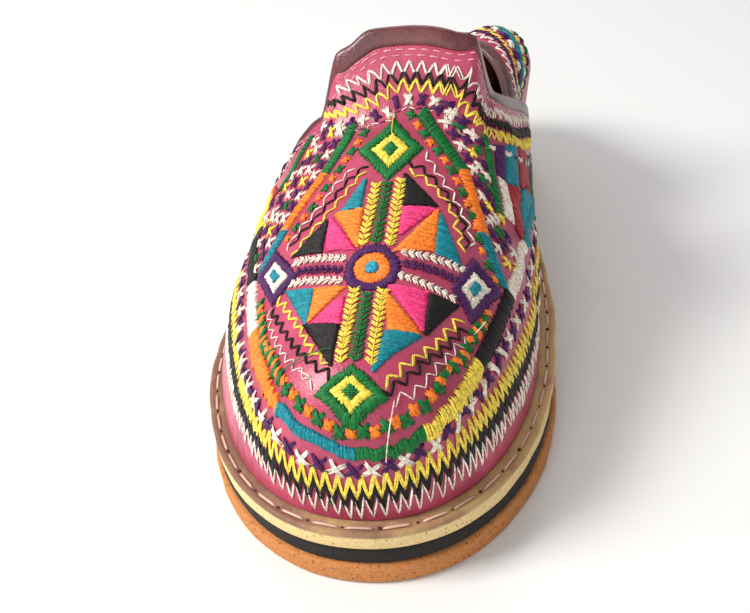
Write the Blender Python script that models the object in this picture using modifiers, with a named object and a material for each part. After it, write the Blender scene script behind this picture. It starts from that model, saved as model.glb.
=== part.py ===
"""Embroidered leather slipper, the wearer's right shoe, with its heel trodden down inside.

Metres. The toe points to -Y, the heel to +Y, the big-toe side is +X and the floor is Z = 0, under the
middle of the shoe. A station is a distance behind the toe tip. Everything follows one plan outline, one
table of vamp sections and one table of quarter ribs, so each piece keeps to its neighbours.
"""
import math

import bmesh
import bpy
import numpy as np

# Sole plan
LENGTH = 0.252
BALL_STATION = 0.080
BALL_LATERAL = 0.0494
BALL_MEDIAL = 0.0494
HEEL_LATERAL = 0.0360
HEEL_MEDIAL = 0.0350
HEEL_ROUND = 0.037
ARCH_CUT = 0.0015
TOE_SWING = 0.0060
TOE_SQUARENESS = 2.15
HEEL_SQUARENESS = 2.2
SWING_POWER = 1.1

# Sole layers, from the floor up
OUTSOLE = 0.0054
MIDSOLE = 0.0047
WELT = 0.0050
MIDSOLE_STEP = 0.0006
EDGE_CHAMFER = 0.0006
TOE_SPRING = 0.0004
TOE_SPRING_LENGTH = 0.045
INSOLE = 0.0025
INSOLE_EASE = 0.0010
GAP = 0.0003
WING_GAP = 0.0008

# Upper
STRIP = 0.0044
VAMP_WALL = 0.0020
QUARTER_WALL = 0.0018
INSTEP = 0.0680
TAB_STATION = 0.1070
WING_STATION = 0.1580
TAB_START = 0.0890
TAB_RISE = 0.0150
TAB_MIDDLE = 0.0082
TAB_HALF_WIDTH = 0.0185
TAB_SHOULDER = 0.0050
TOE_ROLL = 0.021
TOE_BLUNTNESS = 2.3
BINDING_WIDTH = 0.0055
BINDING_PROUD = 0.0005
BINDING_ROUND = 0.0008
BINDING_GAP = 0.0007

# Quarter
QUARTER_STATION = 0.1380
QUARTER_HEIGHT = 0.0440
FOLD_RADIUS = 0.0140
FLAP = 0.0300
TUCK_RELEASE = 0.018

# How finely the surfaces are divided
SOLE_STEPS = 32
VAMP_COLUMNS = 48
ROW_SPREAD = 1.6
VAMP_ROWS = 22
RIBS = 54
RIB_ROWS = 13
BINDING_ROWS = 2
EDGE_SAMPLES = 240
EDGE_STEPS = 8

# Vamp sections. station: share of LENGTH. crown: share of INSTEP. shift: crown's place across, share of
# BALL_MEDIAL. wall: how high the side stays steep, lean: how far it bulges out, top: how flat the crown is.
VAMP_COLUMN_NAMES = (
    "station", "crown", "shift",
    "wall_lateral", "lean_lateral", "top_lateral",
    "wall_medial", "lean_medial", "top_medial",
)
VAMP_SECTIONS = (
    (0.000, 0.520, 0.00, 0.56, 0.00, 0.56, 0.56, 0.00, 0.56),
    (0.087, 0.530, 0.04, 0.54, 0.00, 0.54, 0.56, 0.00, 0.56),
    (0.175, 0.600, 0.07, 0.50, 0.00, 0.54, 0.58, 0.00, 0.56),
    (0.270, 0.735, 0.09, 0.48, 0.00, 0.52, 0.62, 0.00, 0.60),
    (0.325, 0.820, 0.11, 0.46, 0.00, 0.52, 0.64, 0.00, 0.66),
    (0.377, 0.910, 0.15, 0.44, 0.00, 0.52, 0.66, 0.00, 0.74),
    (0.425, 1.000, 0.19, 0.42, 0.00, 0.58, 0.68, 0.00, 0.80),
)

# Throat edge. up: share of the way from the sole to the crown. lateral, medial: how far back the edge lies on
# each side there, as a share of the way from the tab to the wings' end.
THROAT_COLUMN_NAMES = ("up", "lateral", "medial")
THROAT_EDGE = (
    (0.00, 1.00, 1.00),
    (0.20, 1.00, 1.00),
    (0.28, 0.97, 1.00),
    (0.33, 0.88, 0.99),
    (0.38, 0.66, 0.96),
    (0.43, 0.44, 0.90),
    (0.49, 0.26, 0.80),
    (0.56, 0.12, 0.66),
    (0.63, 0.04, 0.48),
    (0.69, 0.00, 0.29),
    (0.75, -0.03, 0.12),
    (0.81, -0.03, 0.02),
    (0.88, 0.00, 0.00),
    (1.00, 0.00, 0.00),
)

# Quarter ribs, from the medial front end round the heel to the lateral front end. along: share of the heel
# line. rise: share of QUARTER_HEIGHT before the fold. lean: degrees inward from upright. radius: share of
# FOLD_RADIUS. end: degrees where the fold stops. flap: share of FLAP past it. heading: degrees from forward.
RIB_COLUMN_NAMES = ("along", "rise", "lean", "radius", "end", "flap", "heading")
QUARTER_RIBS = (
    (0.000, 0.860, -3.0, 1.00, 35.0, 0.00, 90.0),
    (0.080, 0.960, -5.0, 1.00, 70.0, 0.00, 88.0),
    (0.135, 1.000, -8.0, 1.00, 138.0, 0.09, 84.0),
    (0.190, 0.910, -8.0, 0.93, 158.0, 0.30, 66.0),
    (0.250, 0.750, -6.0, 0.80, 156.0, 0.62, 48.0),
    (0.340, 0.540, -2.0, 0.64, 138.0, 0.88, 26.0),
    (0.500, 0.400, 4.0, 0.52, 120.0, 0.98, 0.0),
    (0.660, 0.430, 2.0, 0.58, 128.0, 0.88, -26.0),
    (0.750, 0.480, 3.0, 0.66, 138.0, 0.64, -46.0),
    (0.810, 0.540, 5.0, 0.74, 140.0, 0.36, -64.0),
    (0.865, 0.520, 6.0, 0.80, 112.0, 0.14, -82.0),
    (0.920, 0.560, 6.0, 0.90, 62.0, 0.00, -88.0),
    (1.000, 0.600, 6.0, 1.00, 40.0, 0.00, -90.0),
)

# Colour, roughness and metallic value of each piece
FINISHES = {
    "outsole": ((0.62, 0.25, 0.08, 1.0), 0.85, 0.0),
    "midsole": ((0.02, 0.02, 0.02, 1.0), 0.75, 0.0),
    "welt": ((0.72, 0.52, 0.28, 1.0), 0.80, 0.0),
    "insole": ((0.45, 0.27, 0.17, 1.0), 0.65, 0.0),
    "vamp": ((0.55, 0.08, 0.22, 1.0), 0.35, 0.0),
    "vamp_binding": ((0.22, 0.04, 0.07, 1.0), 0.40, 0.0),
    "quarter": ((0.50, 0.07, 0.20, 1.0), 0.38, 0.0),
    "quarter_binding": ((0.16, 0.04, 0.05, 1.0), 0.45, 0.0),
}

WELT_TOP = OUTSOLE + GAP + MIDSOLE + GAP + WELT
UPPER_BASE = WELT_TOP + GAP
HEEL_STATION = LENGTH - HEEL_ROUND
QUARTER_TUCK = VAMP_WALL + WING_GAP + BINDING_PROUD
LATERAL = -1.0
MEDIAL = 1.0
ARC_SAMPLES = 96


def smooth_table(rows, names, key, at):
    """Values of every other column where column key equals at, on a smooth curve through the rows."""
    table = np.array(rows)
    xs = table[:, names.index(key)]
    at = np.clip(np.asarray(at, dtype=float), xs[0], xs[-1])
    step = np.clip(np.searchsorted(xs, at, side="right") - 1, 0, len(xs) - 2)
    width = xs[step + 1] - xs[step]
    part = (at - xs[step]) / width
    values = {}
    for column, name in enumerate(names):
        ys = table[:, column]
        slope = np.diff(ys) / np.diff(xs)
        steep = np.concatenate(([slope[0]], (slope[:-1] + slope[1:]) / 2, [slope[-1]]))
        same_way = np.concatenate(([True], slope[:-1] * slope[1:] > 0, [True]))
        steep = np.where(same_way, steep, 0.0)
        values[name] = (
            ys[step] * (2 * part**3 - 3 * part**2 + 1)
            + steep[step] * width * (part**3 - 2 * part**2 + part)
            + ys[step + 1] * (3 * part**2 - 2 * part**3)
            + steep[step + 1] * width * (part**3 - part**2)
        )
    return values


def ease(value):
    """Smooth step from 0 to 1."""
    value = np.clip(value, 0.0, 1.0)
    return value * value * (3 - 2 * value)


def arch_share(station):
    """0 at the ball and at the heel, 1 at the waist between them."""
    way = np.clip((station - BALL_STATION) / (HEEL_STATION - BALL_STATION), 0.0, 1.0)
    return np.sin(math.pi * way) ** 2


def half_width(station, side, inset):
    """Half width of the sole plan on one side, for an outline moved in by inset: a blunt superellipse from
    toe to ball, a cosine ramp from ball to heel and another superellipse round the heel."""
    ball = (BALL_MEDIAL if side > 0 else BALL_LATERAL) - inset
    heel = (HEEL_MEDIAL if side > 0 else HEEL_LATERAL) - inset
    way = np.clip((station - BALL_STATION) / (HEEL_STATION - BALL_STATION), 0.0, 1.0)
    width = heel + (ball - heel) * (0.5 + 0.5 * np.cos(math.pi * way))
    if side > 0:
        width = width - ARCH_CUT * arch_share(station)
    toe = np.clip((BALL_STATION - station) / (BALL_STATION - inset), 0.0, 1.0)
    end = np.clip((station - HEEL_STATION) / (HEEL_ROUND - inset), 0.0, 1.0)
    toe_cap = (1 - toe**TOE_SQUARENESS) ** (1 / TOE_SQUARENESS)
    heel_cap = (1 - end**HEEL_SQUARENESS) ** (1 / HEEL_SQUARENESS)
    return width * toe_cap * heel_cap


def swing(station):
    """Sideways place of the plan's middle line, which bends to the big toe in front of the ball."""
    return TOE_SWING * np.clip(1 - station / BALL_STATION, 0.0, 1.0) ** SWING_POWER


def plan_middle():
    """Middle of the outline's whole width, which the shoe is centred on."""
    stations = np.linspace(0.0, LENGTH, 800)
    medial = swing(stations) + half_width(stations, MEDIAL, 0.0)
    lateral = swing(stations) - half_width(stations, LATERAL, 0.0)
    return (medial.max() + lateral.min()) / 2


PLAN_MIDDLE = plan_middle()


def side_x(station, side, inset):
    """X of the outline on one side."""
    return swing(station) + side * half_width(station, side, inset) - PLAN_MIDDLE


def place_y(station):
    """Y of a station."""
    return station - LENGTH / 2


def toe_lift(station):
    """Toe spring: the sole leaves the floor on a parabola in front of the ball."""
    return TOE_SPRING * np.clip(1 - station / TOE_SPRING_LENGTH, 0.0, 1.0) ** 2


def sole_stations(inset):
    """Stations from toe to heel of an outline moved in by inset, close together at both round ends."""
    way = 0.5 - 0.5 * np.cos(math.pi * np.linspace(0.0, 1.0, SOLE_STEPS + 1))
    return inset + (LENGTH - 2 * inset) * way


def half_section(station, side):
    """Half of the vamp's section at each station, as dense points from the sole to the crown: a Bezier
    curve that leaves the sole upright and meets the crown level. Returns x, z and the arc length."""
    row = smooth_table(VAMP_SECTIONS, VAMP_COLUMN_NAMES, "station", station / LENGTH)
    name = "medial" if side > 0 else "lateral"
    roll = np.clip((station - STRIP) / TOE_ROLL, 0.0, 1.0)
    toe = (1 - (1 - roll) ** TOE_BLUNTNESS) ** (1 / TOE_BLUNTNESS)
    crown = INSTEP * row["crown"] * toe
    foot_x = side_x(station, side, STRIP)
    crown_x = swing(station) - PLAN_MIDDLE + row["shift"] * BALL_MEDIAL * toe
    span = foot_x - crown_x
    way = np.linspace(0.0, 1.0, ARC_SAMPLES)
    weights = np.stack(((1 - way) ** 3, 3 * way * (1 - way) ** 2, 3 * way**2 * (1 - way), way**3))
    bulge_x = foot_x + row["lean_" + name] * span
    level_x = crown_x + row["top_" + name] * span
    points_x = np.stack((foot_x, bulge_x, level_x, crown_x), -1)
    points_z = np.stack((0 * crown, row["wall_" + name] * crown, crown, crown), -1)
    x = points_x @ weights
    z = points_z @ weights
    steps = np.hypot(np.diff(x, axis=-1), np.diff(z, axis=-1))
    arc = np.concatenate((np.zeros(steps.shape[:-1] + (1,)), np.cumsum(steps, axis=-1)), axis=-1)
    return x, z, arc


def tab_rise(station, x):
    """How far the tab stands above the instep: a flat-topped rise that grows to the throat's edge."""
    grown = np.clip((station - TAB_START) / (TAB_STATION - TAB_START), 0.0, 1.0) ** 2
    return TAB_RISE * grown * (1 - ease((np.abs(x - TAB_MIDDLE) - TAB_HALF_WIDTH) / TAB_SHOULDER))


def rib_curve(row, length, tuck=0.0):
    """A rib's inward reach and height at each length from the sole: straight, round the fold, straight.
    tuck moves the curve inward, square to itself, with its foot kept on the sole."""
    lean = np.radians(row["lean"])
    end = np.radians(row["end"])
    rise = QUARTER_HEIGHT * row["rise"]
    radius = FOLD_RADIUS * row["radius"]
    wall = np.minimum(length, rise)
    turn = np.clip((length - rise) / radius, 0.0, end - lean)
    flap = np.maximum(length - rise - radius * (end - lean), 0.0)
    reach = wall * np.sin(lean) + radius * (np.cos(lean) - np.cos(lean + turn)) + flap * np.sin(end)
    height = wall * np.cos(lean) + radius * (np.sin(lean + turn) - np.sin(lean)) + flap * np.cos(end)
    reach = reach + tuck * np.cos(lean + turn)
    height = height - tuck * (np.sin(lean + turn) - np.sin(lean))
    return reach, height


def rib_length(row):
    """Whole length of a rib from the sole to the bound edge."""
    turn = np.radians(row["end"] - row["lean"])
    return QUARTER_HEIGHT * row["rise"] + FOLD_RADIUS * row["radius"] * turn + FLAP * row["flap"]


def heel_line():
    """The heel's part of the outline, medial front end to lateral front end: station and side of dense
    points, and how far along the line each one is."""
    way = np.sin(0.5 * math.pi * np.linspace(0.0, 1.0, 200))
    stations = QUARTER_STATION + (LENGTH - STRIP - QUARTER_STATION) * way
    medial = np.stack((side_x(stations, MEDIAL, STRIP), place_y(stations)), -1)
    lateral = np.stack((side_x(stations, LATERAL, STRIP), place_y(stations)), -1)
    points = np.concatenate((medial, lateral[::-1][1:]))
    steps = np.hypot(*np.diff(points, axis=0).T)
    along = np.concatenate(([0.0], np.cumsum(steps)))
    return points, along / along[-1]


HEEL_POINTS, HEEL_ALONG = heel_line()


def wing_rib(station, side):
    """The rib row that a station of one side falls on, in front of the heel's round end."""
    count = (len(HEEL_ALONG) + 1) // 2
    y = place_y(station)
    if side > 0:
        along = np.interp(y, HEEL_POINTS[:count, 1], HEEL_ALONG[:count])
    else:
        along = np.interp(y, HEEL_POINTS[::-1][:count, 1], HEEL_ALONG[::-1][:count])
    return smooth_table(QUARTER_RIBS, RIB_COLUMN_NAMES, "along", along)


def upper_surface(station, across):
    """Outer surface of the vamp. across runs from -1 at the lateral sole edge over 0 at the crown to 1 at the
    medial one, in shares of each half's arc. Behind the tab the sections turn into the quarter's ribs, so the
    wings lie over the quarter with one gap."""
    station, across = np.broadcast_arrays(np.asarray(station, dtype=float), np.asarray(across, dtype=float))
    flat_station = station.ravel()
    flat_across = across.ravel()
    points = np.zeros((flat_station.size, 3))
    points[:, 1] = place_y(flat_station)
    for side in (LATERAL, MEDIAL):
        mine = flat_across >= 0 if side > 0 else flat_across < 0
        here = flat_station[mine]
        up = 1 - np.abs(flat_across[mine])
        x, z, arc = half_section(np.minimum(here, TAB_STATION + GAP), side)
        length = up * arc[:, -1]
        section_x = np.array([np.interp(length[k], arc[k], x[k]) for k in range(len(here))])
        section_z = np.array([np.interp(length[k], arc[k], z[k]) for k in range(len(here))])
        section_x += side_x(here, side, STRIP) - side_x(np.minimum(here, TAB_STATION + GAP), side, STRIP)
        section_z += tab_rise(here, section_x)
        reach, height = rib_curve(wing_rib(here, side), length)
        rib_x = side_x(here, side, STRIP) - side * reach
        blend = ease((here - TAB_STATION) / (QUARTER_STATION - TAB_STATION))
        points[mine, 0] = section_x + (rib_x - section_x) * blend
        points[mine, 2] = UPPER_BASE + toe_lift(here) + section_z + (height - section_z) * blend
    return points.reshape(station.shape + (3,))


def throat_station(across):
    """Station of the throat's edge at each place across."""
    row = smooth_table(THROAT_EDGE, THROAT_COLUMN_NAMES, "up", 1 - np.abs(across))
    back = np.where(across > 0, row["medial"], row["lateral"])
    return TAB_STATION + back * (WING_STATION - TAB_STATION)


def band_edge(width):
    """Station, at each place across, of the line that runs inside the throat's edge at an even distance on
    the surface. The edge is stepped inward square to itself, a little at a time."""
    across = np.linspace(-1.0, 1.0, EDGE_SAMPLES + 1)
    station = throat_station(across)
    nudge = 1e-4
    for _ in range(EDGE_STEPS):
        here = upper_surface(station, across)
        per_station = (here - upper_surface(station - nudge, across)) / nudge
        per_across = np.gradient(here, across, axis=0) - np.gradient(station, across)[:, None] * per_station
        tangent = np.gradient(here, across, axis=0)
        tangent = tangent / np.linalg.norm(tangent, axis=1, keepdims=True)
        inward = -per_station + (per_station * tangent).sum(1, keepdims=True) * tangent
        inward = inward / np.linalg.norm(inward, axis=1, keepdims=True) * width / EDGE_STEPS
        basis = np.stack((per_station, per_across), -1)
        moves = np.array([np.linalg.lstsq(basis[k], inward[k], rcond=None)[0] for k in range(len(across))])
        moved_across = np.maximum.accumulate(np.clip(across + moves[:, 1], -1.0, 1.0))
        station = np.interp(across, moved_across, station + moves[:, 0])
    return across, station


def quarter_surface(along, share, depth):
    """Surface of the quarter, depth inside its outer face: rib along the heel line, share of the rib's length
    up from the sole."""
    row = smooth_table(QUARTER_RIBS, RIB_COLUMN_NAMES, "along", along)
    x = np.interp(along, HEEL_ALONG, HEEL_POINTS[:, 0])
    y = np.interp(along, HEEL_ALONG, HEEL_POINTS[:, 1])
    tuck = QUARTER_TUCK * (1 - ease((y - place_y(WING_STATION)) / TUCK_RELEASE))
    reach, height = rib_curve(row, share * rib_length(row), tuck + depth)
    heading = np.radians(row["heading"])
    return np.stack((x - reach * np.sin(heading), y - reach * np.cos(heading), UPPER_BASE + height), -1)


def grid_normals(points):
    """Unit normals of a grid of points, from the differences along its two ways."""
    normals = np.cross(np.gradient(points, axis=1), np.gradient(points, axis=0))
    size = np.linalg.norm(normals, axis=-1, keepdims=True)
    return normals / np.maximum(size, 1e-12)


def grid_mesh(name, points):
    """An open sheet of quads through a grid of points. Points that fall together become one."""
    rows, columns = points.shape[:2]
    bm = bmesh.new()
    verts = [[bm.verts.new(point) for point in row] for row in points]
    for i in range(rows - 1):
        for j in range(columns - 1):
            bm.faces.new((verts[i][j], verts[i][j + 1], verts[i + 1][j + 1], verts[i + 1][j]))
    bmesh.ops.remove_doubles(bm, verts=bm.verts, dist=1e-6)
    mesh = bpy.data.meshes.new(name)
    bm.to_mesh(mesh)
    bm.free()
    return mesh


def shell_mesh(name, outer, inner):
    """A closed shell between two grids of points that lie over each other: both faces, joined all round."""
    rows, columns = outer.shape[:2]
    bm = bmesh.new()
    ring = np.concatenate((outer, inner[::-1]))
    verts = [[bm.verts.new(point) for point in row] for row in ring]
    for i in range(2 * rows):
        upper = verts[i]
        lower = verts[(i + 1) % (2 * rows)]
        for j in range(columns - 1):
            bm.faces.new((upper[j], upper[j + 1], lower[j + 1], lower[j]))
    for end in (0, columns - 1):
        for i in range(rows - 1):
            back = 2 * rows - 1 - i
            bm.faces.new((verts[i][end], verts[i + 1][end], verts[back - 1][end], verts[back][end]))
    bmesh.ops.recalc_face_normals(bm, faces=bm.faces)
    mesh = bpy.data.meshes.new(name)
    bm.to_mesh(mesh)
    bm.free()
    return mesh


def make_material(name):
    """Principled material of one piece."""
    colour, roughness, metallic = FINISHES[name]
    material = bpy.data.materials.new(name)
    material.use_nodes = True
    shader = material.node_tree.nodes["Principled BSDF"]
    shader.inputs["Base Color"].default_value = colour
    shader.inputs["Roughness"].default_value = roughness
    shader.inputs["Metallic"].default_value = metallic
    return material


def make_object(name, mesh, collection):
    """Object of one piece, smooth shaded, in the shoe's collection."""
    mesh.materials.append(make_material(name))
    mesh.shade_smooth()
    mesh.set_sharp_from_angle(angle=math.radians(40))
    piece = bpy.data.objects.new(name, mesh)
    collection.objects.link(piece)
    return piece


def add_wall(piece, thickness):
    """Gives a sheet its wall, inward from its outer face."""
    wall = piece.modifiers.new("wall", "SOLIDIFY")
    wall.thickness = thickness
    wall.offset = -1.0
    wall.use_even_offset = True
    wall.use_rim = True


def add_round_edge(piece, width):
    """Rounds the sharp edges of a band."""
    bevel = piece.modifiers.new("round edge", "BEVEL")
    bevel.width = width
    bevel.segments = 1
    bevel.limit_method = "ANGLE"
    bevel.angle_limit = math.radians(50)


def make_slab(name, collection, bottom, top, inset):
    """A flat layer of the sole: one chamfered section for each station, closed at toe and heel."""
    rim = (
        (inset + EDGE_CHAMFER, bottom),
        (inset, bottom + EDGE_CHAMFER),
        (inset, top - EDGE_CHAMFER),
        (inset + EDGE_CHAMFER, top),
    )
    ring = []
    for side, corners in ((LATERAL, rim), (MEDIAL, rim[::-1])):
        for corner_inset, height in corners:
            stations = sole_stations(corner_inset)
            x = side_x(stations, side, corner_inset)
            z = height + toe_lift(stations)
            ring.append(np.stack((x, place_y(stations), z), -1))
    ring.append(ring[0])
    points = np.stack(ring, axis=1)
    return make_object(name, grid_mesh(name, points), collection)


def make_sole(collection):
    """Outsole, midsole and welt, each a layer of one plan, and the insole inside the upper."""
    midsole_bottom = OUTSOLE + GAP
    welt_bottom = midsole_bottom + MIDSOLE + GAP
    make_slab("outsole", collection, 0.0, OUTSOLE, 0.0)
    make_slab("midsole", collection, midsole_bottom, midsole_bottom + MIDSOLE, MIDSOLE_STEP)
    make_slab("welt", collection, welt_bottom, WELT_TOP, 0.0)
    insole_inset = STRIP + QUARTER_TUCK + QUARTER_WALL + INSOLE_EASE
    make_slab("insole", collection, UPPER_BASE, UPPER_BASE + INSOLE, insole_inset)


def make_vamp(collection):
    """The vamp's shell, from the toe to the binding's inner edge, and the binding round its throat."""
    across = np.linspace(-1.0, 1.0, VAMP_COLUMNS + 1)
    way = np.linspace(0.0, 1.0, VAMP_ROWS + 1) ** ROW_SPREAD
    line, band = band_edge(BINDING_WIDTH)
    last = np.interp(across, line, band) - BINDING_GAP
    stations = STRIP + way[:, None] * (last[None, :] - STRIP)
    points = upper_surface(stations, across[None, :])
    shell = make_object("vamp", grid_mesh("vamp", points), collection)
    add_wall(shell, VAMP_WALL)

    way = np.linspace(0.0, 1.0, BINDING_ROWS + 1)
    first = np.interp(across, line, band)
    stations = first[None, :] + way[:, None] * (throat_station(across) - first)[None, :]
    points = upper_surface(stations, across[None, :])
    points = points + BINDING_PROUD * grid_normals(points)
    binding = make_object("vamp_binding", grid_mesh("vamp_binding", points), collection)
    add_wall(binding, VAMP_WALL + BINDING_PROUD)
    add_round_edge(binding, BINDING_ROUND)


def make_quarter(collection):
    """The quarter's shell, folded in at the heel, and the binding along its edge."""
    along = np.linspace(0.0, 1.0, RIBS + 1)
    row = smooth_table(QUARTER_RIBS, RIB_COLUMN_NAMES, "along", along)
    bound = 1 - BINDING_WIDTH / rib_length(row)
    way = np.linspace(0.0, 1.0, RIB_ROWS + 1)
    shares = way[:, None] * (bound - BINDING_GAP / rib_length(row))[None, :]
    outer = quarter_surface(along[None, :], shares, 0.0)
    inner = quarter_surface(along[None, :], shares, QUARTER_WALL)
    make_object("quarter", shell_mesh("quarter", outer, inner), collection)

    way = np.linspace(0.0, 1.0, BINDING_ROWS + 1)
    shares = bound[None, :] + way[:, None] * (1 - bound)[None, :]
    outer = quarter_surface(along[None, :], shares, -BINDING_PROUD)
    inner = quarter_surface(along[None, :], shares, QUARTER_WALL)
    binding = make_object("quarter_binding", shell_mesh("quarter_binding", outer, inner), collection)
    add_round_edge(binding, BINDING_ROUND)


def main():
    for old in list(bpy.data.objects):
        bpy.data.objects.remove(old)
    collection = bpy.data.collections.new("slipper")
    bpy.context.scene.collection.children.link(collection)
    make_sole(collection)
    make_vamp(collection)
    make_quarter(collection)


main()
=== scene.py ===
"""An embroidered leather slipper, made as an add-on: the sole's layers, the upper, its threads and the stage.

The upper is worked out from the same sizes and short tables as the part's source, apart from the tab's two
shoulders and the rise of its lateral corner. Embroidery is laid on it through charts, which turn a place in a
flat drawing, in millimetres, into a point and a normal of the leather.
"""
import math

import bmesh
import bpy
import numpy as np
from bpy.props import FloatProperty, PointerProperty
from bpy.types import Operator, Panel, PropertyGroup
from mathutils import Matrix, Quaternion, Vector


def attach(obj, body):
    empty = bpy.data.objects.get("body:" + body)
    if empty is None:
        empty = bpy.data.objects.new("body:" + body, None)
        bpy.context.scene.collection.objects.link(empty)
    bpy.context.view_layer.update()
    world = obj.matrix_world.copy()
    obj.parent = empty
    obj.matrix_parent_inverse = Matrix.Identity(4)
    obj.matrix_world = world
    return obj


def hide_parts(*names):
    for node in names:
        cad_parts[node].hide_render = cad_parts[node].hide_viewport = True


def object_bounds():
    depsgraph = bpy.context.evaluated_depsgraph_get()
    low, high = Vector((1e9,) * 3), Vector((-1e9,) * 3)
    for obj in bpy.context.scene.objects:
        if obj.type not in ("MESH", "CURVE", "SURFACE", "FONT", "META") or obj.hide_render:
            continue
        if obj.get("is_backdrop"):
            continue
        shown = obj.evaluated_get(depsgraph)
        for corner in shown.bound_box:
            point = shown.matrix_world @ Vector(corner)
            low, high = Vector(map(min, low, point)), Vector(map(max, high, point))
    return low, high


bl_info = {
    "name": "Embroidered slipper",
    "version": (1, 0, 0),
    "blender": (4, 5, 0),
    "location": "View3D > Sidebar > Slipper",
    "description": "Makes an embroidered leather slipper and its stage",
    "category": "Add Mesh",
}


def plain_lists(value):
    """Bounds as plain lists of floats."""
    if isinstance(value, dict):
        return {key: plain_lists(part) for key, part in value.items()}
    if isinstance(value, (list, tuple, Vector, np.ndarray)):
        return [plain_lists(part) for part in value]
    return float(value) if isinstance(value, (int, float, np.floating)) else value


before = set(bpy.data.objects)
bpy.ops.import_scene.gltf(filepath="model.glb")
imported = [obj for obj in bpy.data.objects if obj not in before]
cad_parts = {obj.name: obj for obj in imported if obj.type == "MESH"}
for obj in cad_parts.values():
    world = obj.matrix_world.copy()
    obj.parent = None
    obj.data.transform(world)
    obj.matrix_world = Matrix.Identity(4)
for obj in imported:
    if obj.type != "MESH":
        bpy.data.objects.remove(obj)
START_BOUNDS = plain_lists(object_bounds())

# Camera, metres and degrees
CAMERA_PLACE = (0.0542, -0.2821, 0.1828)
CAMERA_TARGET = (0.01009, -0.09696, 0.0593)
CAMERA_ROLL = -6.31

# Sole plan, metres. The toe points to -Y and the big-toe side is +X.
LENGTH = 0.252
BALL_STATION = 0.080
BALL_LATERAL = 0.0494
BALL_MEDIAL = 0.0494
HEEL_LATERAL = 0.0360
HEEL_MEDIAL = 0.0350
HEEL_ROUND = 0.037
ARCH_CUT = 0.0015
TOE_SWING = 0.0060
TOE_SQUARENESS = 2.15
HEEL_SQUARENESS = 2.2
SWING_POWER = 1.1

# Sole layers, from the floor up
OUTSOLE = 0.0054
MIDSOLE = 0.0047
WELT = 0.0050
MIDSOLE_STEP = 0.0006
TOE_SPRING = 0.0004
TOE_SPRING_LENGTH = 0.045
INSOLE = 0.0025
INSOLE_EASE = 0.0010
GAP = 0.0003
WING_GAP = 0.0008

# Upper
STRIP = 0.0044
VAMP_WALL = 0.0020
QUARTER_WALL = 0.0018
INSTEP = 0.0680
TAB_STATION = 0.1070
WING_STATION = 0.1580
TAB_START = 0.0890
TAB_RISE = 0.0150
TAB_MIDDLE = 0.0082
TAB_HALF_WIDTH = 0.0185
TAB_SHOULDER = 0.0034
TAB_CORNER_RISE = 0.0034
TAB_SLOPE = 0.0075
TOE_ROLL = 0.021
TOE_BLUNTNESS = 2.3
BINDING_WIDTH = 0.0055
BINDING_PROUD = 0.0005
QUARTER_STATION = 0.1380
QUARTER_HEIGHT = 0.0440
FOLD_RADIUS = 0.0140
FLAP = 0.0300
TUCK_RELEASE = 0.018

# Vamp sections: crown height, crown's place across, and how steep, leaning and flat each side is
VAMP_COLUMN_NAMES = (
    "station", "crown", "shift",
    "wall_lateral", "lean_lateral", "top_lateral",
    "wall_medial", "lean_medial", "top_medial",
)
VAMP_SECTIONS = (
    (0.000, 0.520, 0.00, 0.56, 0.00, 0.56, 0.56, 0.00, 0.56),
    (0.087, 0.530, 0.04, 0.54, 0.00, 0.54, 0.56, 0.00, 0.56),
    (0.175, 0.600, 0.07, 0.50, 0.00, 0.54, 0.58, 0.00, 0.56),
    (0.270, 0.735, 0.09, 0.48, 0.00, 0.52, 0.62, 0.00, 0.60),
    (0.325, 0.820, 0.11, 0.46, 0.00, 0.52, 0.64, 0.00, 0.66),
    (0.377, 0.910, 0.15, 0.44, 0.00, 0.52, 0.66, 0.00, 0.74),
    (0.425, 1.000, 0.19, 0.42, 0.00, 0.58, 0.68, 0.00, 0.80),
)

# Throat edge: how far back it lies on each side, at each share of the way up from the sole
THROAT_COLUMN_NAMES = ("up", "lateral", "medial")
THROAT_EDGE = (
    (0.00, 1.00, 1.00),
    (0.20, 1.00, 1.00),
    (0.28, 0.97, 1.00),
    (0.33, 0.88, 0.99),
    (0.38, 0.66, 0.96),
    (0.43, 0.44, 0.90),
    (0.49, 0.26, 0.80),
    (0.56, 0.12, 0.66),
    (0.63, 0.04, 0.48),
    (0.69, 0.00, 0.29),
    (0.75, -0.03, 0.12),
    (0.81, -0.03, 0.02),
    (0.88, 0.00, 0.00),
    (1.00, 0.00, 0.00),
)

# Quarter ribs, from the medial front end round the heel to the lateral front end
RIB_COLUMN_NAMES = ("along", "rise", "lean", "radius", "end", "flap", "heading")
QUARTER_RIBS = (
    (0.000, 0.860, -3.0, 1.00, 35.0, 0.00, 90.0),
    (0.080, 0.960, -5.0, 1.00, 70.0, 0.00, 88.0),
    (0.135, 1.000, -8.0, 1.00, 138.0, 0.09, 84.0),
    (0.190, 0.910, -8.0, 0.93, 158.0, 0.30, 66.0),
    (0.250, 0.750, -6.0, 0.80, 156.0, 0.62, 48.0),
    (0.340, 0.540, -2.0, 0.64, 138.0, 0.88, 26.0),
    (0.500, 0.400, 4.0, 0.52, 120.0, 0.98, 0.0),
    (0.660, 0.430, 2.0, 0.58, 128.0, 0.88, -26.0),
    (0.750, 0.480, 3.0, 0.66, 138.0, 0.64, -46.0),
    (0.810, 0.540, 5.0, 0.74, 140.0, 0.36, -64.0),
    (0.865, 0.520, 6.0, 0.80, 112.0, 0.14, -82.0),
    (0.920, 0.560, 6.0, 0.90, 62.0, 0.00, -88.0),
    (1.000, 0.600, 6.0, 1.00, 40.0, 0.00, -90.0),
)

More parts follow.
